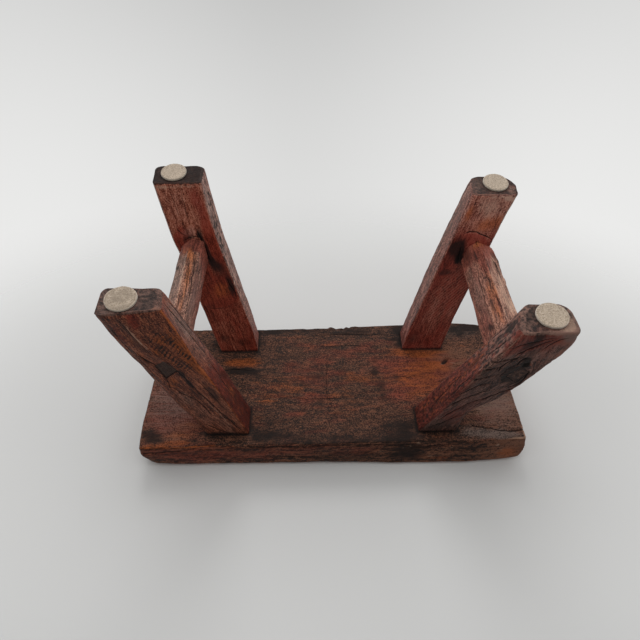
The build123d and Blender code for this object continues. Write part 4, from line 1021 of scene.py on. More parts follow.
def detail_front_right(L, P, x, y, z, s, t, u, W, E, edge, shaft, foot, d, q, m, f, w):
    wf, wr, wb, wl = W.T
    front, side = wf * shaft, wr * shaft
    # the front is two facets, with a long split between them
    left = sm(-t, -0.4, 1.2) * front
    d = d + np.exp(-(np.minimum(t + 1.0, 0) / 12.0) ** 2 - (np.maximum(t + 1.0, 0) / 16.0) ** 2) * 2.2 * sm(z, 150, 215) * front
    d = d - left * (0.45 + 0.02 * np.clip(-t, 0, 30)) * sm(z, 60, 110)
    m["worn"] += np.exp(-((t - 1.5) / 0.8) ** 2) * sm(z, 60, 90) * front * (0.30 + 0.9 * P(q, (13, 3, 3)))
    spots(m, x, z, ("front_right_leg", "front"), front, P, q)
    spots(m, y, z, ("front_right_leg", "side"), side, P, q)
    # diagonal saw marks above the middle of the right-hand facet
    zone = blob(x, z, -138.5, 194, 14.0, 31, 16, 0.35) * front * sm(t, 0.5, 3.5)
    phase = (z * math.cos(math.radians(54.5)) - x * math.sin(math.radians(54.5))) / 3.6 + 0.30 * P(q, (14, 7, 7)) + 0.12 * P(q + 8, (5, 3, 3))
    m["saw"] = phase
    m["saw_on"] = zone * (0.78 + 0.8 * P(q + 77, (9, 5, 5)))
    d = d - zone * np.clip(np.cos(phase * 2 * math.pi), 0, 1) * 0.34
    m["warm"] += zone * 0.42
    # bare orange along the right-hand arris
    m["warm"] += E[:, 1] * shaft * (0.55 + 0.75 * blob(z, 0 * z, 205, 0, 52, 9, 0, 0.5) + 0.5 * blob(z, 0 * z, 120, 0, 60, 9, 0, 0.5)) * (0.85 + 0.6 * P(q, (9, 4, 4)))
    m["warm"] += blob(x, z, -126.0, 190, 4.0, 44, 16, 0.6) * front * 0.55
    # painted shade along the split between the two facets: a darker band about 3 mm each side, on top of the split cut
    # in the shape
    m["dark"] += (1 - sm(np.abs(t + 1.2), 0.3, 3.0)) * front * 0.16
    m["dark"] += sm(z, 236, 248) * front * 0.20
    m["worn"] += E[:, 0] * shaft * 0.15
    m["red"] += side * (0.25 + (1 - sm(z, 110, 175)) * 0.55)
    m["dark"] += side * (1 - sm(z, 90, 160)) * 0.20
    m["lift"] += -0.10 * side * (1 - sm(z, 110, 170)) + 0.22 * E[:, 1] * shaft * sm(z, 120, 160) + 0.03 * front
    m["lift"] += front * sm(t, 0, 4) * (1 - sm(z, 150, 175)) * 0.06
    m["calm"] += front * (0.30 + 0.40 * sm(z, 195, 215) * sm(t, -6, 0)) + side * (0.15 + 0.2 * (1 - sm(z, 110, 160)))
    m["red"] += side * (1 - sm(z, 90, 150)) * 0.30
    m["lift"] -= side * (1 - sm(z, 100, 160)) * 0.05
    m["dark"] += side * (1 - sm(z, 100, 150)) * np.clip(P(q + 31, (6, 3, 3)) * 1.8 - 0.3, 0, 1) * 0.5
    f1, w1 = lines(x, z, splits(("front_right_leg", "front"), 1), wf)
    f2, w2 = lines(y, z, splits(("front_right_leg", "side"), 16), wr)
    m["grime"] += (1 - sm(np.abs(f1), 0.4, 1.8)) * (w1 > 0.45) * 0.14
    f, w = np.where(w2 > w1, f2, f1), np.maximum(w1, w2)
    # outer and rear faces
    m["dark"] += (wl + wb) * shaft * 0.10
    m["red"] += (wl + wb) * shaft * 0.18
    cr3 = [(wiggle([(-58, 240), (-53, 180), (-48, 120), (-44, 80)], 9, 0.5, 9), 0.42, (0.2, 0.3))]
    f3, w3 = lines(y, z, cr3, wl)
    return d, q, np.where(w3 > w, f3, f), np.maximum(w, w3)


def detail_front_left(L, P, x, y, z, s, t, u, W, E, edge, shaft, foot, d, q, m, f, w):
    wf, wr, wb, wl = W.T
    front, side = wf * shaft, wl * shaft
    # grain bends round the tenon on the front face
    tt, r = round_knot(s, t, (181 - SEAT_T) * 1.061, 0.0, 10.5, 1.45)
    q = q.copy()
    q[:, 1] = np.where(shaft, t + (tt - t) * wf, t)
    t2 = q[:, 1]
    # deep weathered furrows that follow the grain
    band = sm(z, 60, 84) * (1 - sm(z, 224, 240)) * front
    for off, wid, dep, z0, z1 in ((-9.3, 0.75, 0.6, 84, 232), (-6.2, 0.6, 0.45, 95, 214), (-3.4, 0.8, 0.75, 78, 205), (-1.2, 0.6, 0.5, 70, 190),
                                  (1.4, 0.6, 0.5, 66, 200), (4.2, 0.85, 0.7, 74, 222), (7.4, 0.6, 0.4, 90, 215), (10.5, 0.7, 0.4, 110, 236), (-12.8, 0.55, 0.35, 120, 228)):
        line = off + 1.6 * P(np.stack([s, s * 0 + off * 7, s * 0], 1), (26, 1, 1)) + 0.5 * P(np.stack([s, s * 0 + off * 3, s * 0], 1), (8, 1, 1))
        g = np.exp(-((t2 - line) / wid) ** 2) * sm(z, z0, z0 + 22) * (1 - sm(z, z1 - 26, z1)) * (0.25 + 1.1 * np.clip(P(np.stack([s, s * 0 + off, s * 0], 1), (15, 1, 1)) + 0.30, 0, 1))
        d = d - g * dep * front
        m["dark"] += g * front * 0.60
    d = d + 0.28 * P(np.stack([s, t2, u], 1), (40, 1.9, 1.9)) * band
    spots(m, x, z, ("front_left_leg", "front"), front, P, q)
    spots(m, y, z, ("front_left_leg", "side"), side, P, q)
    # small ragged hole beside the tenon end
    wa = 1.1 * P(q + 5, (3, 2.2, 2.2))
    hole = blob(x + wa, z - wa, 146.6, 200.5, 2.3, 4.6, -14, 0.45) * front
    d = d - hole * 2.0
    m["dark"] += hole * 1.1
    # weathered brown with a trace of grey, redder towards the upper end
    m["grey"] += front * (0.14 + 0.16 * sm(x - (87 + (z - 42) * 0.195), 16, 1) * sm(z, 110, 150))
    m["red"] += front * (0.16 + 0.35 * sm(z, 205, 240))
    m["dark"] += front * 0.04
    m["worn"] += E[:, 0] * shaft * sm(z, 120, 170) * 0.30
    m["warm"] += blob(x, z, 149.5, 147.5, 5, 6.5, 40, 0.5) * front * 0.5
    m["red"] += side * (1 - sm(z, 125, 185)) * 0.55
    m["grey"] += side * sm(z, 150, 215) * 0.06
    m["warm"] += side * sm(z, 160, 200) * 0.08
    m["red"] += side * 0.22
    m["lift"] += side * (0.14 * sm(z, 185, 220) - 0.08 * (1 - sm(z, 150, 185)) + 0.22 * P(q + 11, (9, 4, 4)) + 0.55 * P(q + 12, (3.2, 2.2, 2.2)))
    m["warm"] += side * np.clip(P(q + 16, (9, 4, 4)) + 0.05, 0, 1) * (1 - sm(z, 185, 215)) * 0.8
    m["red"] += side * P(q + 14, (8, 4, 4)) * 0.5
    m["calm"] += side * 0.5 + front * 0.35
    m["lift"] += front * (0.09 * sm(z, 195, 220) + 0.02 + 0.06 * P(q + 11, (17, 4, 4)) + 0.12 * P(q + 12, (7, 1.4, 1.4)))
    m["lift"] += blob(x, z, 166, 236, 11, 20, 0, 0.8) * (wf + wr) * shaft * 0.24
    m["dark"] += side * np.clip(P(np.stack([z, y, x * 0], 1), (5.5, 3.4, 4)) * 1.8 - 0.25, 0, 1) * 0.80 + side * (0.08 + (1 - sm(z, 80, 150)) * 0.16)
    f1, w1 = lines(x, z, splits(("front_left_leg", "front"), 21), wf)
    f2, w2 = lines(y, z, splits(("front_left_leg", "side"), 36), wl)
    f, w = np.where(w2 > w1, f2, f1), np.maximum(w1, w2)
    # ragged right-hand arris
    chip = np.maximum(0, P(np.stack([z, x * 0, y * 0], 1), (7, 1, 1)) - 0.05) * E[:, 1] * shaft
    d = d - chip * 2.0
    d = d - sm(z, 163.5, 165.5) * (1 - sm(z, 196, 206)) * E[:, 1] * shaft * 0.9
    # pale worn corner at the end
    m["grey"] += blob(x, z, 167, 247, 10, 8, 0, 0.6) * (wf + wr) * shaft * 0.6
    m["worn"] += blob(x, z, 171, 248, 7, 4, 0, 0.6) * (wf + wr) * shaft * 0.35
    m["red"] += np.where(foot, 0.35, 0.0)
    m["warm"] += blob(x, z, 164, 225, 7, 16, 0, 0.8) * (wf + wr) * shaft * 0.32
    m["dark"] += (wr + wb) * shaft * 0.12
    m["red"] += (wr + wb) * shaft * 0.15
    return d, q, f, w


def detail_back_right(L, P, x, y, z, s, t, u, W, E, edge, shaft, foot, d, q, m, f, w):
    wf, wr, wb, wl = W.T
    front, side = wf * shaft, wr * shaft
    m["red"] += front * (0.45 - 0.34 * sm(z, 165, 215))
    m["grey"] += front * sm(z, 170, 240) * 0.12
    m["warm"] += front * sm(z, 170, 240) * 0.08
    m["dark"] += front * (np.clip(P(q + 20, (13, 3.0, 3.0)) * 1.6 - 0.60, 0, 1) * 0.25 + 0.05)
    m["worn"] += front * np.clip(P(q + 45, (5, 1.6, 1.6)) * 1.6 - 0.62, 0, 1) * (0.25 + 0.45 * sm(z, 200, 236))
    spots(m, x, z, ("back_right_leg", "front"), front, P, q)
    spots(m, y, z, ("back_right_leg", "side"), side * np.clip(0.55 + 1.5 * P(q + 70, (5, 2.2, 2.2)), 0, 1.5), P, q)
    # painted shade: a soft dark patch round the joint where the right stretcher enters this leg
    m["grime"] += blob(x, z, -139.5, 177, 14, 17, 0, 0.25) * front * 0.12
    m["lift"] += front * (0.08 * sm(z, 160, 205) + 0.03 + 0.06 * P(q + 11, (22, 4.2, 4.2)) + 0.09 * P(q + 12, (4, 1.5, 1.5)))
    m["calm"] += front * (0.40 + 0.40 * sm(z, 180, 210)) + side * 0.35
    m["lift"] += side * (0.20 * P(q + 13, (6, 3, 3)) - 0.06 * (1 - sm(z, 120, 180)))
    m["grey"] += E[:, 0] * shaft * sm(z, 110, 150) * 0.6
    m["worn"] += E[:, 0] * shaft * 0.35
    m["grey"] += side * (0.62 - 0.16 * (1 - sm(z, 130, 190)))
    flecks = np.clip(P(np.stack([z, y, x * 0], 1), (4.5, 1.9, 3)) * 2.6 - 0.75, 0, 1)
    m["dark"] += side * flecks * (0.40 + 1.05 * sm(z, 120, 180)) + side * (1 - sm(z, 90, 150)) * 0.10
    m["worn"] += side * np.clip(P(np.stack([z + 31, y, x * 0], 1), (4.0, 1.8, 3)) * 2.2 - 0.6, 0, 1) * 0.7
    d = d - side * flecks * 0.5
    m["red"] += side * (1 - sm(z, 55, 85)) * 0.6
    chip = np.maximum(0, P(np.stack([z, x * 0, y * 0], 1), (8, 1, 1)) - 0.2) * E[:, 1] * shaft
    d = d - chip * 1.6
    f1, w1 = lines(x, z, splits(("back_right_leg", "front"), 41, 5), wf)
    f2, w2 = lines(y, z, splits(("back_right_leg", "side"), 56, 5), wr)
    f, w = np.where(w2 > w1, f2, f1), np.maximum(w1, w2)
    cr3 = [(wiggle([(-150, 236), (-140, 180), (-128, 120), (-117, 78)], 9, 0.6, 38), 0.4, (0.2, 0.3))]
    f3, w3 = lines(x, z, cr3, wb)
    m["dark"] += (wl + wb) * shaft * 0.08
    return d, q, np.where(w3 > w, f3, f), np.maximum(w, w3)


def detail_back_left(L, P, x, y, z, s, t, u, W, E, edge, shaft, foot, d, q, m, f, w):
    wf, wr, wb, wl = W.T
    front, side = wf * shaft, wl * shaft
    m["red"] += front * (0.50 - 0.42 * sm(z, 190, 225))
    m["grey"] += front * sm(z, 188, 222) * 0.14
    m["warm"] += front * sm(z, 192, 225) * 0.16
    m["worn"] += front * (sm(z, 196, 238) * 0.36 + np.clip(P(q + 45, (5, 1.6, 1.6)) * 1.6 - 0.60, 0, 1) * (0.05 + 0.40 * sm(z, 190, 230)))
    m["dark"] += front * (np.clip(P(q + 20, (8, 3.0, 3.0)) * 1.6 - 0.60, 0, 1) * 0.30 * (1 - 0.7 * sm(z, 195, 215)) - 0.16 * sm(z, 195, 215))
    spots(m, x, z, ("back_left_leg", "front"), front, P, q)
    spots(m, y, z, ("back_left_leg", "side"), side, P, q)
    # painted shade: a soft dark patch round the joint where the left stretcher enters this leg
    m["grime"] += blob(x, z, 140, 184, 15, 18, 0, 0.25) * front * 0.08
    m["lift"] += front * (0.10 * sm(z, 195, 225) + 0.02 + (0.03 + 0.07 * sm(z, 185, 205)) * P(q + 11, (22, 3.2, 3.2)) + 0.07 * P(q + 12, (6, 1.5, 1.5)))
    m["lift"] += blob(x, z, 142, 215, 14, 11, 10, 0.7) * front * 0.14 + blob(x, z, 137, 199, 12, 7, -20, 0.7) * front * 0.24
    m["lift"] += side * (0.10 * P(q + 13, (8, 3, 3)) - 0.10)
    m["calm"] += front * (0.50 + 0.30 * sm(z, 195, 215)) + side * 0.35
    # diagonal saw marks on the lower half
    zone = blob(x, z, 122, 122, 17, 42, -15, 0.35) * front
    phase = (z * math.cos(math.radians(52)) - x * math.sin(math.radians(52))) / 3.0 + 0.14 * P(q, (16, 9, 9))
    m["saw"] = phase
    m["saw_on"] = zone * 1.0 * (0.90 + 0.4 * P(q + 77, (9, 5, 5)))
    d = d - zone * np.clip(np.cos(phase * 2 * math.pi), 0, 1) * 0.22
    m["grey"] += side * 0.44
    m["red"] += side * (1 - sm(z, 60, 95)) * 0.5
    m["worn"] += E[:, 0] * shaft * 0.1
    m["worn"] += E[:, 1] * shaft * sm(z, 180, 210) * 0.4
    f1, w1 = lines(x, z, splits(("back_left_leg", "front"), 61, 5), wf)
    cr3 = [(wiggle([(150, 236), (140, 180), (128, 120), (117, 78)], 9, 0.6, 44), 0.4, (0.2, 0.3))]
    f3, w3 = lines(x, z, cr3, wb)
    m["dark"] += (wr + wb) * shaft * 0.10
    m["red"] += (wr + wb) * shaft * 0.25
    return d, q, np.where(w3 > w1, f3, f1), np.maximum(w1, w3)


DETAIL = {"front_right_leg": detail_front_right, "front_left_leg": detail_front_left,
          "back_right_leg": detail_back_right, "back_left_leg": detail_back_left}


# --------------------------------------------------------------- stretchers
def face_y(leg, x, z, rear):
    """A leg's front or rear face: y at (x, z)."""
    c = LEGS[leg]["c"]
    a, b = (c[3], c[2]) if rear else (c[0], c[1])
    ya = hermite(z, [p[0] for p in a], [p[2] for p in a]); yb = hermite(z, [p[0] for p in b], [p[2] for p in b])
    xa = hermite(z, [p[0] for p in a], [p[1] for p in a]); xb = hermite(z, [p[0] for p in b], [p[1] for p in b])
    q = np.clip((x - xa) / (xb - xa), -0.2, 1.2)
    return ya + (yb - ya) * q


def stretcher_shape(name, leg_trees):
    S = STRETCHERS[name]
    n0, f0 = np.array(S["near"], float), np.array(S["far"], float)
    run = f0 - n0
    sides, arcs = (15, 14, 24, 18, 18), (4, 4, 4, 4, 4)

    def ring_at(poly, scale, cut):
        C = (np.array(poly, float) * scale)[None]
        o = np.ones((1, 5))
        r, side, corner = section(C, o * cut, o * cut, o * 0.85, sides, arcs)
        return r[0], side, corner
    nb, side, corner = ring_at(S["body"], 1.0, 1.1)
    fb, _, _ = ring_at(S["body"], S["share"], 1.1)
    tn, _, _ = ring_at(S["tenon"], 1.0, 0.5)
    m = len(nb)
    pt = lambda off, t: np.stack([n0[0] + run[0] * t + off[:, 0], np.full(len(off), n0[1] + run[1] * t), n0[2] + run[2] * t + off[:, 1]], 1)
    near_leg, far_leg = S["legs"]

    def land(a, b, leg, rear, inset):
        """Where the straight lines from a towards b meet the leg's face."""
        out = []
        tree = leg_trees[leg]
        for p, q in zip(a, b):
            dvec = q - p
            L = np.linalg.norm(dvec)
            dvec = dvec / L
            hit = tree.ray_cast(Vector(p), Vector(dvec), 260.0)
            plane = None
            g = p.copy()
            for _ in range(12):
                yy = face_y(leg, g[0], g[2], rear)
                k = (yy - p[1]) / dvec[1]
                g = p + dvec * k
            if hit[0] is not None and abs(hit[0][1] - g[1]) < 2.5:
                g = np.array(hit[0])
            out.append(g + dvec * inset)
        return np.array(out)

    mid = 0.5
    mb = nb * 0.5 + fb * 0.5
    start = pt(mb, mid)
    En = land(start, pt(nb, 0.0), near_leg, True, 0.35)      # bar meets the near leg's rear face
    Ef = land(start, pt(fb, 1.0), far_leg, False, 0.35)      # and the far leg's front face
    sn = land(pt(tn, mid), pt(tn, 0.0), near_leg, True, 0.3)
    sf = land(pt(tn, mid), pt(tn, 1.0), far_leg, False, 0.3)
    on = land(pt(tn, -0.5), pt(tn, 0.0), near_leg, False, 0.25)   # tenon ends on the outer faces
    of = land(pt(tn, 1.5), pt(tn, 1.0), far_leg, True, 0.25)
    rings, kind = [], []

    def lerp(a, b, q): return a * (1 - q) + b * q
    for q in np.linspace(0.1, 0.94, 7):
        rings.append(lerp(on.mean(0), on, q)); kind.append(3)
    for q in np.linspace(0, 1, 22)[:-1]:
        rings.append(lerp(on, sn, q)); kind.append(1)
    for q in np.linspace(0, 1, 7)[:-1]:
        rings.append(lerp(sn, En, q)); kind.append(2)
    nbody = int(np.linalg.norm(Ef.mean(0) - En.mean(0)) / 1.15)
    for q in np.linspace(0, 1, nbody):
        rings.append(lerp(En, Ef, q)); kind.append(0)
    for q in np.linspace(0, 1, 7)[1:]:
        rings.append(lerp(Ef, sf, q)); kind.append(2)
    for q in np.linspace(0, 1, 22)[1:]:
        rings.append(lerp(sf, of, q)); kind.append(1)
    for q in np.linspace(0.94, 0.1, 7):
        rings.append(lerp(of.mean(0), of, q)); kind.append(4)
    rings = np.array(rings)
    kind = np.repeat(np.array(kind), m)
    co = np.concatenate([rings.reshape(-1, 3), [on.mean(0)], [of.mean(0)]])
    kind = np.concatenate([kind, [3, 4]])
    W = np.concatenate([np.tile(side_weights(side, 5), (len(rings), 1)), np.zeros((2, 5))])
    near = np.zeros((m, 5))
    for k, (i, dd) in enumerate(corner):
        near[k, i] = math.exp(-(dd / 2.4) ** 2)
    E = np.concatenate([np.tile(near, (len(rings), 1)), np.zeros((2, 5))])
    return co, tube_faces(len(rings), m), kind, W, E, (En, Ef)


def stretcher_surface(name, co, faces, kind, W, E):
    S = STRETCHERS[name]
    P = Perlin(S["seed"] * 7)
    n0, f0 = np.array(S["near"], float), np.array(S["far"], float)
    run = f0 - n0
    L = np.linalg.norm(run)
    x, y, z = co.T
    tt = (co[:, 1] - n0[1]) / run[1]
    c = n0 + run * tt[:, None]
    s, t, u = tt * L, x - c[:, 0], z - c[:, 2]
    q = np.stack([s, t, u], 1)
    body = kind == 0
    edge = E.max(1)
    nrm = normals_of(co, faces)
    d = 0.70 * P(q, (34, 14, 14)) + 0.30 * P(q, (12, 6, 6)) + 0.22 * P.fbm(q, (16, 2.2, 2.2), 2)
    d = d - edge * (0.1 + 1.3 * np.maximum(0, P(q, (10, 6, 6)) - 0.2))
    fade = np.where(body, sm(np.minimum(s - s[body].min(), s[body].max() - s), 0.0, 6.0) * 0.95 + 0.05, 0.0)
    out, ridge = (W[:, 0] + 0.6 * W[:, 4]), E[:, 1]
    inner = W[:, 1] + W[:, 2]
    m = dict(dark=np.zeros(len(co)), warm=np.zeros(len(co)), grey=np.zeros(len(co)), worn=edge * 0.3, grime=np.zeros(len(co)), red=np.zeros(len(co)), lift=np.zeros(len(co)))
    share = (s - s[body].min()) / (s[body].max() - s[body].min())
    # way round the bar, from its first corner
    sc = 1 + (S["share"] - 1) * tt
    around, best, done = np.zeros(len(co)), np.full(len(co), 1e9), 0.0
    for k in range(5):
        a, b = np.array(S["body"][k], float), np.array(S["body"][(k + 1) % 5], float)
        ln = np.linalg.norm(b - a)
        g = np.clip(((t / sc - a[0]) * (b[0] - a[0]) + (u / sc - a[1]) * (b[1] - a[1])) / ln ** 2, 0, 1)
        dist = np.hypot(t / sc - a[0] - g * (b[0] - a[0]), u / sc - a[1] - g * (b[1] - a[1]))
        around = np.where(dist < best, done + g * ln, around)
        best = np.minimum(best, dist)
        done += ln
    if name == "right_stretcher":
        m["grey"] += body * (0.46 * W[:, 0] + 0.14 * W[:, 1] + 0.24 * W[:, 2] + 0.3 * W[:, 4])
        m["worn"] += body * 0.25 * W[:, 0]
        m["dark"] += body * (W[:, 0] * (np.clip(P(q, (5.5, 1.9, 1.9)) * 2.2 - 0.65, 0, 1) * 0.8) + (W[:, 1] + W[:, 2]) * np.clip(P(q + 30, (16, 2.4, 2.4)) * 2.0 - 0.5, 0, 1) * 0.5)
        m["warm"] += body * 0.25 * W[:, 1] * np.clip(P(q, (26, 3.5, 3.5)) + 0.45, 0, 1)
        m["red"] += body * (0.30 * W[:, 2] + 0.2 * W[:, 3])
    else:
        m["grey"] += body * (0.30 * W[:, 0] + 0.12 * W[:, 1] + 0.16 * W[:, 2] + 0.3 * W[:, 4])
        m["worn"] += body * 0.20 * W[:, 0]
        m["dark"] += body * (W[:, 0] * (0.02 + np.clip(P(q, (9.5, 2.0, 2.0)) * 2.2 - 0.65, 0, 1) * 0.7) + (W[:, 1] + W[:, 2]) * np.clip(P(q + 30, (14, 2.6, 2.6)) * 2.0 - 0.6, 0, 1) * 0.4)
        m["warm"] += body * 0.20 * W[:, 1] * np.clip(P(q, (26, 3.5, 3.5)) + 0.3, 0, 1)
        m["red"] += body * (W[:, 1] * 0.28 + W[:, 2] * 0.38)
        m["lift"] += body * W[:, 0] * 0.13
    calm = 1 - 0.85 * sm(share, 0.76, 0.93)
    for key in ("worn", "grey", "dark"):
        m[key] = m[key] * calm
    m["red"] += body * sm(share, 0.78, 0.95) * 0.7
    spots(m, s, around, (name, "bar"), body * 1.0, P, q)
    m["lift"] += body * (0.08 * P(q + 11, (14, 2.6, 2.6)) + 0.12 * P(q + 12, (4.5, 1.5, 1.5)) + (0.10 * sm(share, 0.75, 0.95) if name == "left_stretcher" else 0.0))
    grooves = np.zeros(len(co))
    for k, (face, at, wid, dep) in enumerate(((0, 0.35, 0.6, 0.8), (0, 0.7, 0.7, 0.7), (1, 0.3, 0.6, 0.6), (1, 0.62, 0.7, 0.8), (2, 0.25, 0.6, 0.7), (2, 0.55, 0.55, 0.6), (2, 0.8, 0.6, 0.6), (3, 0.4, 0.6, 0.6), (4, 0.5, 0.6, 0.6))):
        a, b = np.array(S["body"][face]), np.array(S["body"][(face + 1) % 5])
        g0 = a + (b - a) * at
        e = (b - a) / np.linalg.norm(b - a)
        off = (t - g0[0]) * e[0] + (u - g0[1]) * e[1] + 1.4 * P(np.stack([s, 0 * s + k * 9, 0 * s], 1), (34, 1, 1)) + 0.4 * P(np.stack([s, 0 * s + k * 5, 0 * s], 1), (8, 1, 1))
        g = np.exp(-(off / wid) ** 2) * W[:, face] * np.clip(P(np.stack([s, 0 * s + k * 3, 0 * s], 1), (24, 1, 1)) * 2.2 + 0.7, 0, 1)
        grooves += g * dep
        m["dark"] += g * body * 0.36
    d = d - grooves
    # painted shade: the last 4 mm of the bar is darkened where it goes into each leg, more at the near end
    ends = 1 - sm(np.minimum(s - s[body].min(), s[body].max() - s), 0.0, 4.0)
    m["grime"] += body * ends * np.where(share > 0.5, 0.03, 0.14)
    cr = lines(s, around, splits((name, "bar"), S["seed"] * 3), body * 1.0)
    groove = np.clip(1 - np.abs(cr[0]) / np.maximum(cr[1] + 0.9, 0.05), 0, 1) * (cr[1] > 0)
    d = d - (0.25 + 0.9 * np.clip(cr[1], 0, 1.2)) * groove
    d = d * fade
    # the ridge is cut down where the bar enters the far leg
    drop = (3.2 if name == "left_stretcher" else 2.6) * sm(share, 0.80, 0.97) * body * np.clip(1.4 * E[:, 1] + 0.75 * W[:, 0] + 0.75 * W[:, 1], 0, 1) * np.clip((u - 6) / 8, 0, 1)
    co = co - np.stack([0 * drop, 0 * drop, drop], 1)
    endcap = (kind == 3) | (kind == 4)
    d = np.where(endcap, -0.25 + 0.2 * P(q, (5, 3, 3)), d)
    co = co + nrm * d[:, None]
    dark_end, cap_end = (0.80, 1.0) if name == "right_stretcher" else (0.86, 0.35)
    m["dark"] = np.where(endcap | (kind == 1), dark_end, m["dark"])
    mottle = 1.0 if name == "left_stretcher" else 0.15
    m["grey"] = np.where(endcap | (kind == 1), 0.20 + mottle * 0.5 * np.clip(P(q + 41, (3, 3, 3)), 0, 1), m["grey"])
    m["lift"] = np.where(endcap | (kind == 1), mottle * (0.45 * P(q + 43, (4.5, 2.6, 2.6)) + 0.06), m["lift"])
    at = dict(gr=q, ma=np.stack([m["dark"], m["warm"], m["grey"]], 1), mb=np.stack([m["worn"], m["grime"], m["red"]], 1),
              ck=np.stack([cr[0], cr[1] * (1 - 0.2 * body), endcap * cap_end], 1), lf=m["lift"], cm=body * 0.60)
    return co, at


# --------------------------------------------------------------------- seat
SA, SB = 196.55, 77.35      # half length and half depth
FAR_EDGE = [(-196, -3.2), (-156, -1.9), (-122, -2.2), (-87, -2.8), (-47, -1.9), (-23, -1.5), (-11, -1.2), (-4, -0.9), (3, -0.4), (13, -0.3), (24, 0.6), (37, 1.2), (87, 3.3), (115, 3.7), (138, 4.2), (150, 5.0), (172, 3.6), (184, 1.8), (196, -0.5)]
NEAR_RIM = [(-196, -2.2), (-156, -2.1), (-128, -0.3), (-91, -0.9), (-49, -0.5), (4, 0.0), (46, 0.8), (70, 1.5), (86, 2.3), (100, 2.0), (115, 1.5), (128, 0.4), (140, -0.5), (152, 0.3), (165, 1.7), (180, 2.6), (196, 3.0)]
NEAR_LOW = [(-196, 0.6), (-156, -0.6), (-47, -0.8), (6, -1.3), (40, -2.4), (60, -3.4), (90, -3.6), (122, -3.5), (163, -2.0), (196, 0.2)]
LEFT_EDGE = [(-77, -1.4), (-58, -2.3), (-42, -2.1), (-25, -1.3), (-1, 0.4), (40, 2.0), (77, 4.0)]
RIGHT_EDGE = [(-77, 1.9), (-66, 1.9), (-52, 1.3), (-19, 0.1), (20, -1.2), (77, -3.2)]


def ip(v, table):
    a = np.array(table, float)
    return hermite(v, a[:, 0], a[:, 1])


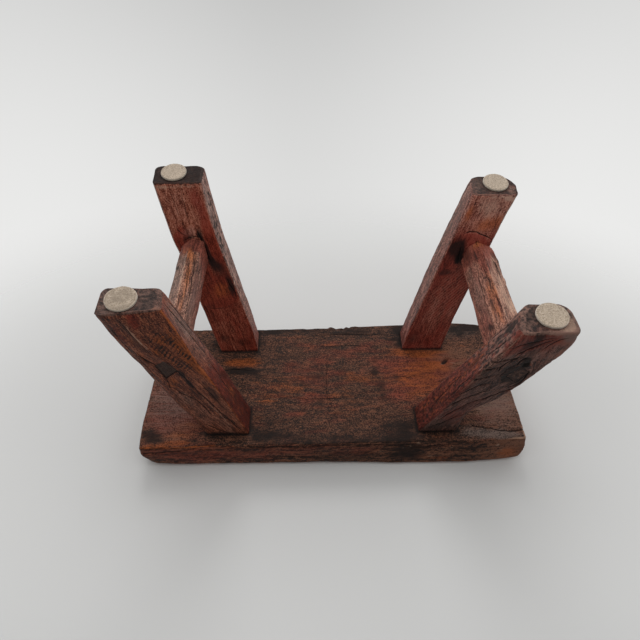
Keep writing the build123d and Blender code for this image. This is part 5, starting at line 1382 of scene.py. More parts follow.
def seat_shape():
    nx, ny = 264, 106
    zl = np.concatenate([np.linspace(0, 7, 8)[:-1], np.linspace(7, 38.5, 19)[:-1], np.linspace(38.5, 42, 4)])
    nz = len(zl) - 1
    idx = -np.ones((nx + 1, ny + 1, nz + 1), np.int64)
    I, J, K = np.meshgrid(np.arange(nx + 1), np.arange(ny + 1), np.arange(nz + 1), indexing="ij")
    surf = (I == 0) | (I == nx) | (J == 0) | (J == ny) | (K == 0) | (K == nz)
    idx[surf] = np.arange(surf.sum())
    i, j, k = I[surf], J[surf], K[surf]
    faces = []

    def quads(a, b, c, d):
        faces.append(np.stack([a.ravel(), b.ravel(), c.ravel(), d.ravel()], 1))
    quads(idx[:-1, :-1, nz], idx[1:, :-1, nz], idx[1:, 1:, nz], idx[:-1, 1:, nz])
    quads(idx[:-1, :-1, 0], idx[:-1, 1:, 0], idx[1:, 1:, 0], idx[1:, :-1, 0])
    quads(idx[:-1, 0, :-1], idx[1:, 0, :-1], idx[1:, 0, 1:], idx[:-1, 0, 1:])
    quads(idx[:-1, ny, :-1], idx[:-1, ny, 1:], idx[1:, ny, 1:], idx[1:, ny, :-1])
    quads(idx[0, :-1, :-1], idx[0, :-1, 1:], idx[0, 1:, 1:], idx[0, 1:, :-1])
    quads(idx[nx, :-1, :-1], idx[nx, 1:, :-1], idx[nx, 1:, 1:], idx[nx, :-1, 1:])
    faces = [tuple(q) for q in np.concatenate(faces).tolist()]
    # bunch the lines a little towards the rims
    X = SA * (2.0 * i / nx - 1)
    Y = SB * (2.0 * j / ny - 1)
    zz = zl[k]
    cap_lo, cap_hi = k == 0, k == nz
    wall = (i == 0) | (i == nx) | (j == 0) | (j == ny)
    P = Perlin(909)
    ex = sm(np.abs(X), 150, 196)
    r_lo = 5.6 + 2.6 * ex + 1.2 * P(np.stack([X, Y, 0 * X], 1), (25, 25, 25))     # round of the upper face's edge
    r_hi = 1.8 + 0.5 * ex + 0.5 * P(np.stack([X, Y, 0 * X + 50], 1), (17, 17, 17))  # edge of the underside
    r_lo = np.where((X > 0) & (Y < 0), r_lo + (5.6 - r_lo) * sm(X, 140, 180) * sm(-Y, 20, 70), r_lo)
    inset = np.zeros(len(X)); zo = zz.copy()
    a = np.clip(1 - zz / 7.0, 0, 1) * math.pi / 2
    lo = zz < 7.0
    inset = np.where(lo, r_lo * (1 - np.cos(a)), inset)
    zo = np.where(lo, r_lo * (1 - np.sin(a)) , zo)
    hi = zz > 38.5
    a2 = np.clip((zz - 38.5) / 3.5, 0, 1) * math.pi / 2
    inset = np.where(hi, r_hi * (1 - np.cos(a2)), inset)
    zo = np.where(hi, SEAT_T - r_hi * (1 - np.sin(a2)), zo)
    between = ~lo & ~hi
    q = (zz - 7.0) / 31.5
    zo = np.where(between, r_lo + (SEAT_T - r_hi - r_lo) * q, zo)
    # plan radius of each corner, larger towards the upper face
    up = sm(SEAT_T - zo, 0, 40)
    R = np.where(X < 0, np.where(Y < 0, 1.0 + 13 * up ** 2.0, 10 + 8 * up), np.where(Y < 0, 1.6 + 2.0 * sm(zo, 33, 42) + 1.5 * sm(42 - zo, 28, 42), 10 + 8 * up))
    aa, bb = SA - inset, SB - inset
    RR = np.maximum(R - inset, 2.0)
    x, y = X * aa / SA, Y * bb / SB
    px, py = np.abs(x) - (aa - RR), np.abs(y) - (bb - RR)
    in_corner = (px > 0) & (py > 0)
    hyp = np.maximum(np.hypot(px, py), 1e-6)
    k2 = np.where(in_corner, np.maximum(px, py) / hyp, 1.0)
    x = np.where(in_corner, np.sign(x) * (aa - RR + px * k2), x)
    y = np.where(in_corner, np.sign(y) * (bb - RR + py * k2), y)
    # outline as hewn
    h = zo / SEAT_T
    wy_near, wy_far = sm(-y, 45, 77), sm(y, 45, 77)
    y = y + wy_near * (ip(x, NEAR_RIM) * h + ip(x, NEAR_LOW) * (1 - h)) + wy_far * ip(x, FAR_EDGE) * (0.6 + 0.4 * h)
    wl, wr = sm(-x, 160, 196), sm(x, 160, 196)
    x = x + wl * ip(y, LEFT_EDGE) + wr * ip(y, RIGHT_EDGE)
    # near right corner rubbed round towards the upper face
    belly = np.exp(-((zo - 19.0) / 13.0) ** 2)
    x = x + belly * (2.7 * sm(x, 186, 197) * sm(-y, 10, 66) - 1.6 * sm(-x, 186, 197) * sm(-y, 30, 70))
    lift = 8.0 * (1 - np.sqrt(1 - np.clip((x - 178.0) / 22.5, 0, 0.97) ** 2)) * sm(-y, 5, 68)
    zo = zo + lift * (1 - h)
    co = np.stack([x, y, zo], 1)
    return co, faces, cap_lo, cap_hi, wall


def seat_surface(co, faces, cap_lo, cap_hi, wall):
    P = Perlin(910)
    x, y, z = co.T.copy()
    nrm = normals_of(co, faces)
    under = sm(z, 40.6, 41.9) * (nrm[:, 2] > 0.5)
    upper = (nrm[:, 2] < -0.5).astype(float)
    near = (nrm[:, 1] < -0.5) * 1.0
    far = (nrm[:, 1] > 0.5) * 1.0
    ends = (np.abs(nrm[:, 0]) > 0.6) * 1.0
    q = np.stack([x, y, z - 21.0], 1)
    # distance to the legs' shoulders, kept flat
    legd = np.full(len(x), 1e9)
    for name, L in LEGS.items():
        c = np.array([p[0][1:] for p in L["c"]], float)
        x0, x1, y0, y1 = c[:, 0].min(), c[:, 0].max(), c[:, 1].min(), c[:, 1].max()
        dd = np.hypot(np.maximum(np.maximum(x0 - x, x - x1), 0), np.maximum(np.maximum(y0 - y, y - y1), 0))
        legd = np.minimum(legd, dd)
    d = 0.42 * P(q, (70, 26, 26)) + 0.22 * P(q, (26, 9, 9)) + 0.12 * P.fbm(q, (22, 2.4, 2.4), 2)
    d = d - np.where((near + far) > 0, 0.35 * np.abs(P(q, (30, 20, 5))) + 0.18 * np.abs(P(q + 31, (14, 9, 2.2))), 0)
    d = d - ends * (0.25 * np.abs(P(q, (9, 4, 3))))
    rim = sm(z, 37.5, 40.0) * (1 - under) + 0.0
    rim_all = np.exp(-((SEAT_T - z) / 2.5) ** 2) * np.maximum(wall, 0) + np.exp(-(np.maximum(np.abs(x) - 0, 0) * 0 + (SEAT_T - z)) ** 2 / 6.0) * 0
    edge_hi = np.exp(-((SEAT_T - z) / 1.6) ** 2) * (np.maximum(np.abs(nrm[:, 0]), np.abs(nrm[:, 1])) > 0.25)
    edge_lo = sm(np.minimum(np.abs(nrm[:, 2]), np.hypot(nrm[:, 0], nrm[:, 1])), 0.25, 0.62) * (z < 14)
    chipn = np.maximum(0, P(q, (11, 7, 50)) - 0.22)
    d = d - edge_hi * (0.2 + 1.9 * chipn)
    # broken far edge right of the middle
    brk = blob(x, y, 11, 77.5, 19, 5.5, 0, 0.35) * sm(z, 26, 38)
    d = d - brk * (0.6 + 2.0 * np.clip(P(q, (4.5, 4, 30)) + 0.25, 0, 1))
    tooth = blob(x, y, 3.0, 77.5, 4.2, 3.5, 0, 0.4) * sm(z, 30, 38) * far
    d = d + tooth * 1.5 + blob(x, y, 25, 78, 8, 3.5, 0, 0.4) * sm(z, 30, 38) * far * 0.9
    m = dict(dark=np.zeros(len(x)), warm=np.zeros(len(x)), grey=np.zeros(len(x)), worn=np.zeros(len(x)), grime=np.zeros(len(x)), red=np.zeros(len(x)), lift=np.zeros(len(x)))
    # --- underside ---
    hole = blob(x, y, 129.5, 25.6, 5.2, 2.6, 42, 0.4) * under
    d = d - hole * 3.0
    m["dark"] += hole * 0.9
    m["grey"] += blob(x, y, 127.6, 23.2, 2.6, 1.6, 42, 0.5) * under * 1.0
    m["worn"] += blob(x, y, 139.5, 22.0, 5.0, 0.9, -12, 0.6) * under * 0.8
    # painted shade on the underside round the legs' shoulders: a band about 6 mm wide, darkest at the joint
    m["grime"] += (1 - sm(legd, 0.6, 6.5)) * under * 0.55 + (1 - sm(legd, 0.0, 1.6)) * under * 0.5
    spots(m, x, y, ("seat", "under"), under, P, q)
    rough = P(q + 120, (9, 5, 20))
    m["dark"] += under * (sm(P(q, (34, 15, 30)), 0.0, 0.55) * 0.28 + sm(P(q + 60, (13, 6, 20)), 0.10, 0.55) * 0.20 + 0.12 * np.clip(rough, -1, 1))
    m["dark"] += under * (sm(y, 55, 76) * 0.22 + sm(-y, 52, 76) * sm(x, -120, -60) * (1 - sm(x, 90, 130)) * 0.14)
    m["warm"] += under * sm(P(q + 90, (30, 9, 30)), 0.10, 0.6) * 0.26
    m["red"] += under * (0.12 + 0.26 * np.clip(P(q + 200, (22, 7, 30)) + 0.10, 0, 1) * (1 - 0.6 * sm(np.abs(x), 150, 185)))
    m["lift"] += under * (0.13 * P(q + 11, (13, 5, 30)) + 0.17 * P(q + 12, (4, 1.9, 30)) - 0.055 * (1 - sm(np.abs(x), 90, 150)) - 0.02)
    m["lift"] += under * (0.24 * blob(x, y, 176, -38, 28, 28, -40, 0.8) + 0.11 * sm(-x, 125, 165) + 0.10 * blob(x, y, 96, 4, 46, 36, 8, 0.9) + 0.40 * blob(x, y, 138, 28, 26, 20, 0, 0.95) + 0.34 * blob(x, y, 168, -12, 24, 24, 0, 0.95))
    m["grey"] += under * (0.50 * blob(x, y, 176, -38, 30, 30, -40, 0.8) + 0.30 * blob(x, y, -168, -22, 34, 52, 0, 0.8) + 0.16 * sm(y, 30, 62) + 0.22 * blob(x, y, 140, 20, 32, 26, 0, 0.95) + 0.25 * blob(x, y, 172, -12, 24, 24, 0, 0.95))
    # --- side faces ---
    spots(m, x, z, ("seat", "near"), near, P, q)
    m["dark"] += near * (0.06 + 0.10 * sm(x, -60, 60) + 0.40 * np.clip(P(q + 33, (24, 20, 2.2)) * 1.6 - 0.25, 0, 1))
    m["dark"] += blob(x, z, 20, 37, 120, 3.0, 0, 0.5) * near * 0.20
    m["lift"] += near * ((0.36 * P(q + 11, (22, 20, 2.6)) + 0.50 * P(q + 12, (6, 6, 1.7)) + 0.36 * P(q + 13, (2.4, 2.4, 1.4))) * (1 + 0.45 * sm(-x, 0, 80)) + 0.05)
    m["warm"] += near * np.clip(P(q + 66, (30, 20, 3.0)) * 1.5 - 0.35, 0, 1) * 0.4
    m["red"] += near * 0.20
    m["lift"] += (near + ends * (x > 0)) * 0.42 * sm(x, 142, 190)
    m["grey"] += (near + ends * (x > 0)) * 0.26 * sm(x, 132, 186)
    m["warm"] += blob(x, z, 186, 16, 12, 12, 0, 0.7) * (near + ends) * 0.45
    m["worn"] += blob(x, z, 101, 15, 3.0, 0.9, 0, 0.6) * near * 0.9 + blob(x, z, 176, 23, 2.2, 0.9, 30, 0.6) * near * 1.0 + blob(x, z, 116, 27, 5, 0.7, 5, 0.6) * near * 0.7
    m["worn"] += edge_hi * sm(x, 176, 192) * sm(-y, 50, 66) * 1.1
    m["worn"] += edge_hi * 0.30 + edge_lo * 0.45
    m["warm"] += edge_hi * near * (1 - sm(x, -150, -90)) * 1.0
    m["grey"] += ends * 0.10
    m["dark"] += ends * 0.12
    # --- upper face: handled and waxed, rubbed lighter where it is sat on ---
    m["red"] += upper * (0.16 + 0.16 * blob(x, y, 0, -4, 150, 60, 0, 0.8))
    m["warm"] += upper * blob(x, y, 20, -8, 95, 34, 0, 0.9) * 0.20
    for cx, cy, ax, ay, a in ((-40, 30, 26, 5, 0.5), (70, -30, 20, 6, 0.45), (120, 20, 14, 8, 0.35), (-130, 5, 18, 6, 0.4), (10, 55, 50, 6, 0.3), (-20, -50, 34, 4, 0.35), (160, -40, 12, 14, 0.3), (-170, -30, 10, 22, 0.3)):
        m["dark"] += upper * blob(x, y, cx, cy, ax, ay, 0, 0.6) * a
    for name in LEGS:
        _, top = tenon_path(name)
        dd = np.hypot(np.maximum(np.abs(x - top[0]) - TX, 0), np.maximum(np.abs(y - top[1]) - TY, 0))
        m["grime"] += upper * (1 - sm(dd, 0.4, 2.6)) * 0.7
        m["dark"] += upper * (1 - sm(dd, 1.5, 9)) * 0.25
    cr_under = [(wiggle([(138, -61), (145.4, -58), (153, -60.6), (162.6, -61.8), (172, -64.2), (181.7, -65.7), (190, -65.6), (196.6, -64.0)], 5, 0.35, 51), 0.42, (0.15, 0)),
                (wiggle([(-5.7, 30), (-5.2, 14), (-6.6, 0), (-6.0, -18), (-5.4, -44)], 5, 0.35, 52), 0.16, (0.1, 0.5)),
                (wiggle([(-126, 16), (-104, 17.4), (-84, 15.8)], 6, 0.4, 55), 0.42, (0.2, 0.3)),
                (wiggle([(60, 46), (20, 49), (-30, 47.5)], 7, 0.5, 56), 0.30, (0.3, 0.4)),
                (wiggle([(-60, -20), (-20, -23), (36, -21)], 7, 0.5, 57), 0.26, (0.4, 0.4)),
                (wiggle([(66, 6), (84, 4.5), (98, 5)], 7, 0.5, 58), 0.3, (0.4, 0.4)),
                (wiggle([(132, 19.5), (146, 18.0), (160, 19)], 5, 0.4, 59), 0.34, (0.3, 0.3)),
                (wiggle([(-196, 30), (-174, 28.6), (-152, 30.5)], 7, 0.5, 60), 0.4, (0, 0.4)),
                (wiggle([(196, 12), (178, 13), (160, 11)], 7, 0.5, 61), 0.36, (0, 0.4)),
                (wiggle([(-20, 64), (30, 66), (74, 64)], 7, 0.5, 62), 0.36, (0.3, 0.3))]
    f1, w1 = lines(x, y, cr_under, (under > 0.4) * 1.0)
    # strip split off along the near right edge stands a little lower
    strip = sm(-y, 61.5 + 0.0 * x, 64.0) * sm(x, 140, 150) * under
    below = (y < np.interp(x, [138, 145.4, 162.6, 181.7, 196.6], [-61, -58, -61.8, -65.7, -64.0])) * (x > 140) * under
    d = d - below * 0.55
    cr_near = [(wiggle([(-196.0, 30), (-188.9, 31), (-176, 32.5), (-158, 34.2), (-143, 37.6), (-130, 39.6)], 6, 0.3, 63), 0.6, (0, 0.25)),
               (wiggle([(-120, 39.4), (-60, 38.2), (0, 38.8), (50, 37.4), (96, 35.8)], 6, 0.4, 64), 0.5, (0.2, 0.2)),
               (wiggle([(88, 27), (112, 24), (150, 26)], 6, 0.5, 65), 0.32, (0.3, 0.3)),
               (wiggle([(-90, 18), (-40, 16), (10, 18)], 7, 0.5, 66), 0.26, (0.4, 0.4)),
               (wiggle([(60, 34), (84, 31.5), (104, 33.5), (128, 36)], 5, 0.6, 67), 0.55, (0.3, 0.3))]
    f2, w2 = lines(x, z, cr_near, (near > 0.5) * 1.0)
    cr_far = [(wiggle([(-150, 25), (-60, 22), (30, 26)], 7, 0.6, 71), 0.5, (0.2, 0.3)), (wiggle([(60, 14), (120, 16), (180, 13)], 7, 0.6, 72), 0.4, (0.3, 0.1))]
    f4, w4 = lines(x, z, cr_far, (far > 0.5) * 1.0)
    cr_end = [(wiggle([(-64.0, 42), (-62, 34), (-63.5, 24)], 4, 0.4, 73), 0.6, (0, 0.5)), (wiggle([(12, 42), (14, 28), (12.5, 17)], 4, 0.4, 74), 0.45, (0, 0.5)), (wiggle([(-30, 4), (-31, 14), (-29, 22)], 4, 0.4, 75), 0.4, (0, 0.5))]
    f5, w5 = lines(y, z, cr_end, (ends > 0.5) * (x > 0) * 1.0)
    cr_end2 = [(wiggle([(30, 42), (31, 30), (29, 20)], 4, 0.4, 76), 0.55, (0, 0.5)), (wiggle([(-20, 42), (-21, 33), (-19, 27)], 4, 0.4, 77), 0.4, (0, 0.5)), (wiggle([(5, 2), (7, 12), (5, 24)], 4, 0.4, 78), 0.45, (0, 0.5))]
    f6, w6 = lines(y, z, cr_end2, (ends > 0.5) * (x < 0) * 1.0)
    cr_up = [(wiggle([(-196, 22), (-150, 20), (-96, 23), (-60, 21)], 7, 0.5, 81), 0.5, (0, 0.5)), (wiggle([(196, -18), (160, -20), (122, -17)], 7, 0.5, 82), 0.5, (0, 0.5)),
             (wiggle([(-60, -30), (0, -33), (66, -31)], 7, 0.5, 83), 0.3, (0.4, 0.4)), (wiggle([(20, 40), (80, 42), (150, 39), (196, 41)], 7, 0.5, 84), 0.42, (0.4, 0)),
             (wiggle([(-120, -52), (-60, -50), (-10, -53)], 7, 0.5, 85), 0.28, (0.4, 0.4)), (wiggle([(-30, 8), (10, 10), (52, 8)], 7, 0.5, 86), 0.24, (0.4, 0.4))]
    f7, w7 = lines(x, y, cr_up, (upper > 0.5) * 1.0)
    f, w = f1, w1
    for ff, ww in ((f2, w2), (f4, w4), (f5, w5), (f6, w6), (f7, w7)):
        f, w = np.where(ww > w, ff, f), np.maximum(w, ww)
    groove = np.clip(1 - np.abs(f) / np.maximum(w + 1.1, 0.05), 0, 1) * (w > 0)
    cut = (0.2 + 0.9 * np.clip(w, 0, 1.2)) * groove
    keep = 1 - (1 - sm(legd, 0.5, 4.0)) * under
    d = (d - cut) * keep
    co = co + nrm * d[:, None]
    # hollowed by use
    dip = upper_z(co[:, 0], co[:, 1])
    co[:, 2] = np.where(cap_lo, dip + np.maximum(co[:, 2], -0.2) * 0.5, co[:, 2] + dip * np.clip(1 - co[:, 2] / 12.0, 0, 1) * (1 - cap_lo))
    co[:, 2] = np.maximum(co[:, 2], 0.05)
    co[:, 0] = np.clip(co[:, 0], -199.2, 200.6)
    at = dict(gr=q, ma=np.stack([m["dark"], m["warm"], m["grey"]], 1), mb=np.stack([m["worn"], m["grime"], m["red"]], 1), ck=np.stack([f, w, ends], 1), lf=m["lift"])
    return co, at


# ---------------------------------------------------------- pads and wedges
PADS = {"front_right_pad": (-168.3, -65.9, 61), "front_left_pad": (153.9, -86.4, 62), "back_right_pad": (-150.1, 93.3, 63), "back_left_pad": (147.8, 76.5, 64)}


def pad_piece(name, cx, cy, seed):
    """A cut felt disc: soft rim, slightly uneven outline and nap. Its lower side lies on the leg's end."""
    P = Perlin(seed)
    n, r0, h = 132, 12.62, 2.4
    a = np.arange(n) / n * 2 * math.pi
    ca, sa = np.cos(a), np.sin(a)
    wob = 1 + 0.014 * P(np.stack([ca * 1.3, sa * 1.3, 0 * a], 1)) + 0.010 * P(np.stack([ca * 6, sa * 6, 0 * a + 5], 1)) - 0.012
    prof = [(0.06, 0), (0.3, 0), (0.55, 0), (0.8, 0), (0.965, 0.02), (0.99, 0.35)]
    prof += [(1.0, z) for z in (0.75, 1.1, 1.45)]
    prof += [(1 - (0.85 / r0) * (1 - math.cos(b)), 1.55 + 0.85 * math.sin(b)) for b in np.linspace(0.15, math.pi / 2, 6)]
    last = prof[-1][0]
    prof += [(last * q, h) for q in np.linspace(0.97, 0.05, 20)]
    kx = {63: 0.94, 64: 0.94}.get(seed, 1.0)        # the far ones are pressed a little out of round
    rings = []
    for rr, z in prof:
        rings.append(np.stack([cx + kx * r0 * rr * wob * ca, cy + r0 * rr * wob * sa, np.full(n, END_Z + z)], 1))
    rings = np.array(rings)
    co = np.concatenate([rings.reshape(-1, 3), [[cx, cy, END_Z]], [[cx, cy, END_Z + h]]])
    faces = tube_faces(len(rings), n)
    nrm = normals_of(co, faces)
    if nrm[-1, 2] < 0:
        nrm = -nrm
    top = co[:, 2] > END_Z + 0.6
    d = 0.13 * P.fbm(co, (1.7, 1.7, 1.7), 3) + 0.10 * P(co, (5, 5, 5)) - 0.14
    rad = np.hypot((co[:, 0] - cx) / kx, co[:, 1] - cy) / r0
    co = co + nrm * (d * top)[:, None]
    co[:, 2] = np.minimum(co[:, 2], END_Z + h)
    q = np.stack([co[:, 0] - cx, co[:, 1] - cy, co[:, 2]], 1)
    rim = sm(rad, 0.9, 1.0)
    side = seed % 4
    dirty = {61: 0.62, 62: -0.32, 63: 0.20, 64: -0.14}.get(seed, 0.0) + np.clip(0.25 * P(q, (4, 4, 4)) + 0.5 * sm((q[:, 1] * (-1 if side != 3 else 0.4) + q[:, 0] * 0.3) / r0, 0.35, 0.95), 0, 1)
    at = dict(gr=q, ma=np.stack([dirty * (1 - rim), rim * 0.9, 0 * rad], 1))
    return finish_mesh(name + "_felt", co, faces, [], at, 60.0)


def wedge_piece(leg, seed):
    """The wedge driven into a leg's tenon: thick at the seat's upper face, thin at its inner end."""
    P = Perlin(seed)
    root, top = tenon_path(leg)
    depth, t0, t1, wide = 27.0, 4.2, 0.8, TY * 2
    zs = np.linspace(0.0, depth, 19)
    rings = []
    sides, arcs = (8, 30, 8, 30), (1, 1, 1, 1)
    for z in zs:
        c = top + (root - top) * (z / SEAT_T)
        hx, hy = (t0 + (t1 - t0) * z / depth) / 2 - 0.06, wide / 2 - 0.1
        C = np.array([[(c[0] - hx, c[1] - hy), (c[0] + hx, c[1] - hy), (c[0] + hx, c[1] + hy), (c[0] - hx, c[1] + hy)]])
        o = np.full((1, 4), min(0.25, hx * 0.5))
        r, _, _ = section(C, o, o, np.ones((1, 4)), sides, arcs)
        zz = np.full(r.shape[1], z)
        rings.append(np.concatenate([r[0], zz[:, None]], 1))
    rings[0][:, 2] = upper_z(rings[0][:, 0], rings[0][:, 1]) - 0.12
    first = rings[0]
    mid = first.mean(0)
    caps = [mid + (first - mid) * q for q in (0.15, 0.4, 0.7, 0.93)]
    last = rings[-1]
    mid2 = last.mean(0)
    rings = caps + rings + [mid2 + (last - mid2) * q for q in (0.8, 0.4)]
    rings = np.array(rings)
    n = rings.shape[1]
    co = np.concatenate([rings.reshape(-1, 3), [mid], [mid2]])
    faces = tube_faces(len(rings), n)
    q = np.stack([co[:, 2] * 1.0, co[:, 0] - top[0], co[:, 1] - top[1]], 1)
    face_pts = co[:, 2] < 3.0
    co[:, 2] = np.where(face_pts, np.maximum(0.08, co[:, 2] + 0.12 * P(q * 2.0, (3, 1.5, 3))), co[:, 2])
    z0 = np.zeros(len(co))
    at = dict(gr=q + seed, ma=np.stack([z0 + 0.30, z0 + 0.25, z0 + 0.1], 1), mb=np.stack([z0, z0, z0], 1), ck=np.stack([z0 + 9, z0 - 1, z0 + 1], 1))
    return finish_mesh(leg.replace("_leg", "_wedge") + "_wood", co, faces, [], at, 35.0)


# ------------------------------------------------------------- put together
def all_pieces():
    made = []
    shapes, trees = {}, {}
    for name in LEGS:
        co, faces, kind, W, E = leg_shape(name)
        co, at = leg_surface(name, co, faces, kind, W, E)
        shapes[name] = (co, faces, at, kind)
        trees[name] = BVHTree.FromPolygons([Vector(p) for p in co], faces)
    cut = []
    wedge_cut, mortise, through = {}, {}, {n: [] for n in LEGS}
    for name in LEGS:
        root, top = tenon_path(name)
        lean = (top - root) / SEAT_T
        box = lambda z, hx, hy: np.array([(root[0] + lean[0] * (SEAT_T - z) + sx * hx, root[1] + lean[1] * (SEAT_T - z) + sy * hy, z) for sx, sy in ((-1, -1), (1, -1), (1, 1), (-1, 1))])
        mortise[name] = prism("cut_mortise_" + name, box(-6, TX + 0.28, TY + 0.28), box(48, TX + 0.28, TY + 0.28))
        wedge_cut[name] = prism("cut_wedge_" + name, box(-3, 2.28, TY - 0.02 + 4.0), box(27.1, 0.44, TY - 0.02 + 4.0))
        cut += [mortise[name], wedge_cut[name]]
    for name, S in STRETCHERS.items():
        c = prism("cut_" + name, tenon_poly(S, -0.5, 0.28), tenon_poly(S, 1.5, 0.28))
        cut.append(c)
        for leg in S["legs"]:
            through[leg].append(c)
    for name, S in STRETCHERS.items():
        co, faces, kind, W, E, _ = stretcher_shape(name, trees)
        co, at = stretcher_surface(name, co, faces, kind, W, E)
        ob = finish_mesh(name + "_wood", co, faces, [], at)
        made.append((ob, name, "stretcher_wood", "stretcher"))
    for name in LEGS:
        co, faces, at, kind = shapes[name]
        ob = finish_mesh(name + "_wood", co, faces, through[name] + [wedge_cut[name]], at)
        made.append((ob, name, "leg_wood", name))
    co, faces, a, b, c = seat_shape()
    co, at = seat_surface(co, faces, a, b, c)
    ob = finish_mesh("seat_wood", co, faces, list(mortise.values()), at)
    made.append((ob, "seat", "seat_wood", "seat"))
    for k, name in enumerate(LEGS):
        made.append((wedge_piece(name, 31 + k), name.replace("_leg", "_wedge"), "wedge_wood", "wedge"))
    for name, (cx, cy, seed) in PADS.items():
        made.append((pad_piece(name, cx, cy, seed), name, "felt", "felt"))
    for c in cut:
        me = c.data
        bpy.data.objects.remove(c)
        bpy.data.meshes.remove(me)
    return made


# near black for stains, cracks and pores, and for the painted shade in corners, joints and on faces turned away
STAIN_AND_SHADE = srgb(34, 27, 26)
MATS = {
    "seat": wood("seat_wood", [srgb(28, 20, 17), srgb(60, 40, 31), srgb(81, 52, 40), srgb(126, 83, 63)], srgb(120, 58, 44), srgb(160, 84, 42), srgb(118, 100, 92), srgb(32, 25, 23), srgb(164, 130, 108),
                 (310, 17, -5), 0.16, (0.52, 0.84), (3.4, -40.0, 70.0), 2.35, 0.45, 0.38, 1.55, 0.24, 0.70, 0.17, end=(80, 54, 44)),
    "front_right_leg": wood("leg_wood_a", [srgb(34, 20, 16), srgb(82, 43, 31), srgb(120, 64, 46), srgb(172, 106, 78)], srgb(118, 44, 30), srgb(170, 88, 42), srgb(146, 120, 108), STAIN_AND_SHADE, srgb(184, 140, 116),
                            (40, 120, 33), 0.40, (0.44, 0.76), (2.8, 30.0, 45.0), 2.2, 1.25, 0.45, 0.95, 0.30, 0.65, 0.25, saw="dark", end=(82, 66, 60)),
    "front_left_leg": wood("leg_wood_b", [srgb(30, 22, 20), srgb(66, 43, 37), srgb(101, 69, 60), srgb(144, 104, 91)], srgb(114, 48, 37), srgb(160, 78, 44), srgb(122, 98, 89), srgb(28, 25, 23), srgb(172, 140, 120),
                           (140, 20, 133), 0.3, (0.46, 0.78), (2.8, 30.0, 45.0), 2.3, 1.3, 0.5, 0.9, 0.40, 0.75, 0.25, end=(84, 63, 55)),
    "back_right_leg": wood("leg_wood_c", [srgb(42, 20, 15), srgb(102, 48, 34), srgb(148, 78, 58), srgb(200, 132, 108)], srgb(142, 54, 38), srgb(182, 90, 52), srgb(172, 142, 132), STAIN_AND_SHADE, srgb(206, 164, 140),
                           (240, 70, 3), 0.35, (0.46, 0.80), (2.8, 30.0, 45.0), 2.1, 1.15, 0.40, 1.05, 0.20, 0.55, 0.18, end=(24, 24, 18)),
    "back_left_leg": wood("leg_wood_d", [srgb(44, 20, 17), srgb(108, 53, 43), srgb(156, 88, 72), srgb(208, 144, 124)], srgb(142, 52, 40), srgb(190, 98, 52), srgb(168, 138, 126), STAIN_AND_SHADE, srgb(212, 172, 152),
                          (340, 90, 63), 0.35, (0.46, 0.78), (2.8, 30.0, 45.0), 2.1, 1.1, 0.42, 0.95, 0.18, 0.50, 0.24, saw="pale", end=(76, 58, 50)),
    "stretcher": wood("stretcher_wood", [srgb(48, 30, 25), srgb(102, 66, 54), srgb(148, 102, 86), srgb(202, 152, 128)], srgb(142, 72, 58), srgb(194, 112, 62), srgb(160, 136, 124), STAIN_AND_SHADE, srgb(210, 172, 148),
                      (90, 10, 13), 0.35, (0.50, 0.80), (2.4, 20.0, 25.0), 1.9, 1.05, 0.52, 1.15, 0.30, 0.65, 0.24),
    "wedge": wood("wedge_wood", [srgb(60, 36, 24), srgb(96, 60, 40), srgb(126, 84, 56), srgb(150, 108, 74)], srgb(120, 60, 36), srgb(170, 96, 50), srgb(120, 100, 84), STAIN_AND_SHADE, srgb(160, 120, 90),
                  (5, 60, 70), 0.3, (0.46, 0.76), (1.6, 20.0, 25.0), 1.8, 1.0, 0.5, 0.6, 0.5, 0.6, 0.4),
    "felt": felt_material(),
}
for ob, node, slot, mat in all_pieces():
    ob.data.materials.clear()
    ob.data.materials.append(MATS[mat])
    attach(ob, "root")
    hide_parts(node)


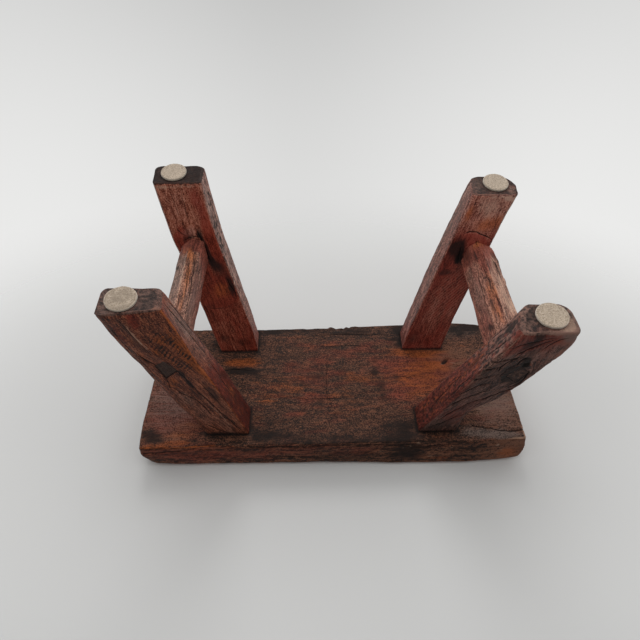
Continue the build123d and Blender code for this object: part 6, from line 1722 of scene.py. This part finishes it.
# -------------------------------------------------------------------- stage
def ground(name, z, face_up, colour, size=3.0, fade=None):
    """A pale floor seen only from its front: the floor under the feet from above, and the one the
    seat's upper face lies on from below. fade: how far out it thins into the pale surroundings."""
    v = [(-size, -size, z), (size, -size, z), (size, size, z), (-size, size, z)]
    me = bpy.data.meshes.new(name)
    me.from_pydata(v, [], [(0, 1, 2, 3)] if face_up else [(3, 2, 1, 0)])
    me.update()
    ob = add(name, me)
    t = Tree(name)
    tc = t.nt.nodes.new("ShaderNodeNewGeometry")
    big = t.noise(t.vmul(tc.outputs["Position"], (3.0, 3.0, 3.0)), 1.0, 2.0, 0.5)
    t.put(t.bsdf.inputs["Base Color"], t.ramp(big, [(0.3, tuple(c * 0.97 for c in colour)), (0.7, colour)]))
    t.bsdf.inputs["Roughness"].default_value = 0.95
    t.bsdf.inputs["Specular IOR Level"].default_value = 0.1
    clear = t.nt.nodes.new("ShaderNodeBsdfTransparent")
    both = t.nt.nodes.new("ShaderNodeMixShader")
    if fade:
        reach = t.nt.nodes.new("ShaderNodeVectorMath"); reach.operation = "LENGTH"
        t.nt.links.new(t.vmul(tc.outputs["Position"], (0.62, 1.0, 0.0)), reach.inputs[0])
        thin = t.nt.nodes.new("ShaderNodeMapRange"); thin.interpolation_type = "SMOOTHSTEP"
        t.nt.links.new(reach.outputs["Value"], thin.inputs["Value"])
        thin.inputs["From Min"].default_value, thin.inputs["From Max"].default_value = fade
        most = t.nt.nodes.new("ShaderNodeMath"); most.operation = "MAXIMUM"
        t.nt.links.new(tc.outputs["Backfacing"], most.inputs[0])
        t.nt.links.new(thin.outputs["Result"], most.inputs[1])
        t.nt.links.new(most.outputs[0], both.inputs[0])
    else:
        t.nt.links.new(tc.outputs["Backfacing"], both.inputs[0])
    t.nt.links.new(t.bsdf.outputs[0], both.inputs[1])
    t.nt.links.new(clear.outputs[0], both.inputs[2])
    t.nt.links.new(both.outputs[0], t.nt.nodes["Material Output"].inputs["Surface"])
    me.materials.append(t.mat)
    ob.visible_shadow = ob.visible_diffuse = ob.visible_glossy = False
    return ob


ground("floor", 0.0, True, (0.668, 0.668, 0.663))
ground("ground_upper", 0.2511, False, (0.668, 0.668, 0.663), fade=(0.16, 0.42))


def area(name, loc, aim, size, energy, colour=(1, 1, 1), gloss=True):
    l = bpy.data.lights.new(name, "AREA")
    l.shape, l.size, l.energy, l.color = "DISK", size, energy, colour
    o = bpy.data.objects.new(name, l)
    bpy.context.scene.collection.objects.link(o)
    o.location = loc
    o.rotation_mode = "QUATERNION"
    o.rotation_quaternion = (Vector(aim) - Vector(loc)).to_track_quat("-Z", "Y")
    o.visible_glossy = gloss


def studio(base, parts, tint=(1.0, 1.0, 0.99)):
    """Pale surroundings, a little brighter toward some directions. parts: (direction, from, to, how much)."""
    world = bpy.data.worlds.new("world")
    bpy.context.scene.world = world
    world.use_nodes = True
    nt = world.node_tree
    bg = nt.nodes["Background"]
    tc = nt.nodes.new("ShaderNodeTexCoord")
    total = None
    for d, lo_, hi_, amount in parts:
        n = Vector(d).normalized()
        dot = nt.nodes.new("ShaderNodeVectorMath"); dot.operation = "DOT_PRODUCT"
        nt.links.new(tc.outputs["Generated"], dot.inputs[0]); dot.inputs[1].default_value = n
        mr = nt.nodes.new("ShaderNodeMapRange"); mr.interpolation_type = "SMOOTHSTEP"
        nt.links.new(dot.outputs["Value"], mr.inputs["Value"])
        mr.inputs["From Min"].default_value, mr.inputs["From Max"].default_value = lo_, hi_
        mr.inputs["To Min"].default_value, mr.inputs["To Max"].default_value = 0.0, amount
        add_ = nt.nodes.new("ShaderNodeMath"); add_.operation = "ADD"
        nt.links.new(mr.outputs["Result"], add_.inputs[0])
        if total is None:
            add_.inputs[1].default_value = base
        else:
            nt.links.new(total, add_.inputs[1])
        total = add_.outputs[0]
    nt.links.new(total, bg.inputs["Strength"])
    bg.inputs["Color"].default_value = (*tint, 1)


studio(0.16, [((0, 0.40, -1), 0.0, 0.95, 0.40),      # above the picture's floor, a little behind
              ((1, 0.25, -0.1), 0.1, 0.95, 0.40),    # pale walls at both sides
              ((-1, 0.25, -0.1), 0.1, 0.95, 0.42),
              ((0, 1, 0), 0.0, 0.9, 0.20),           # the backdrop
              ((0, 0.55, 1), 0.55, 1.0, 0.40)])      # above the upright stool, behind it
area("key_below", (0.02, -0.10, -0.72), (0.0, 0.0, 0.25), 0.46, 1.35)
area("back_below", (0.08, 0.85, -0.85), (0.0, 0.0, 0.2), 0.6, 3.6)
area("key_above", (0.55, -0.75, 1.35), (0, 0, 0.12), 0.9, 2.6, gloss=False)
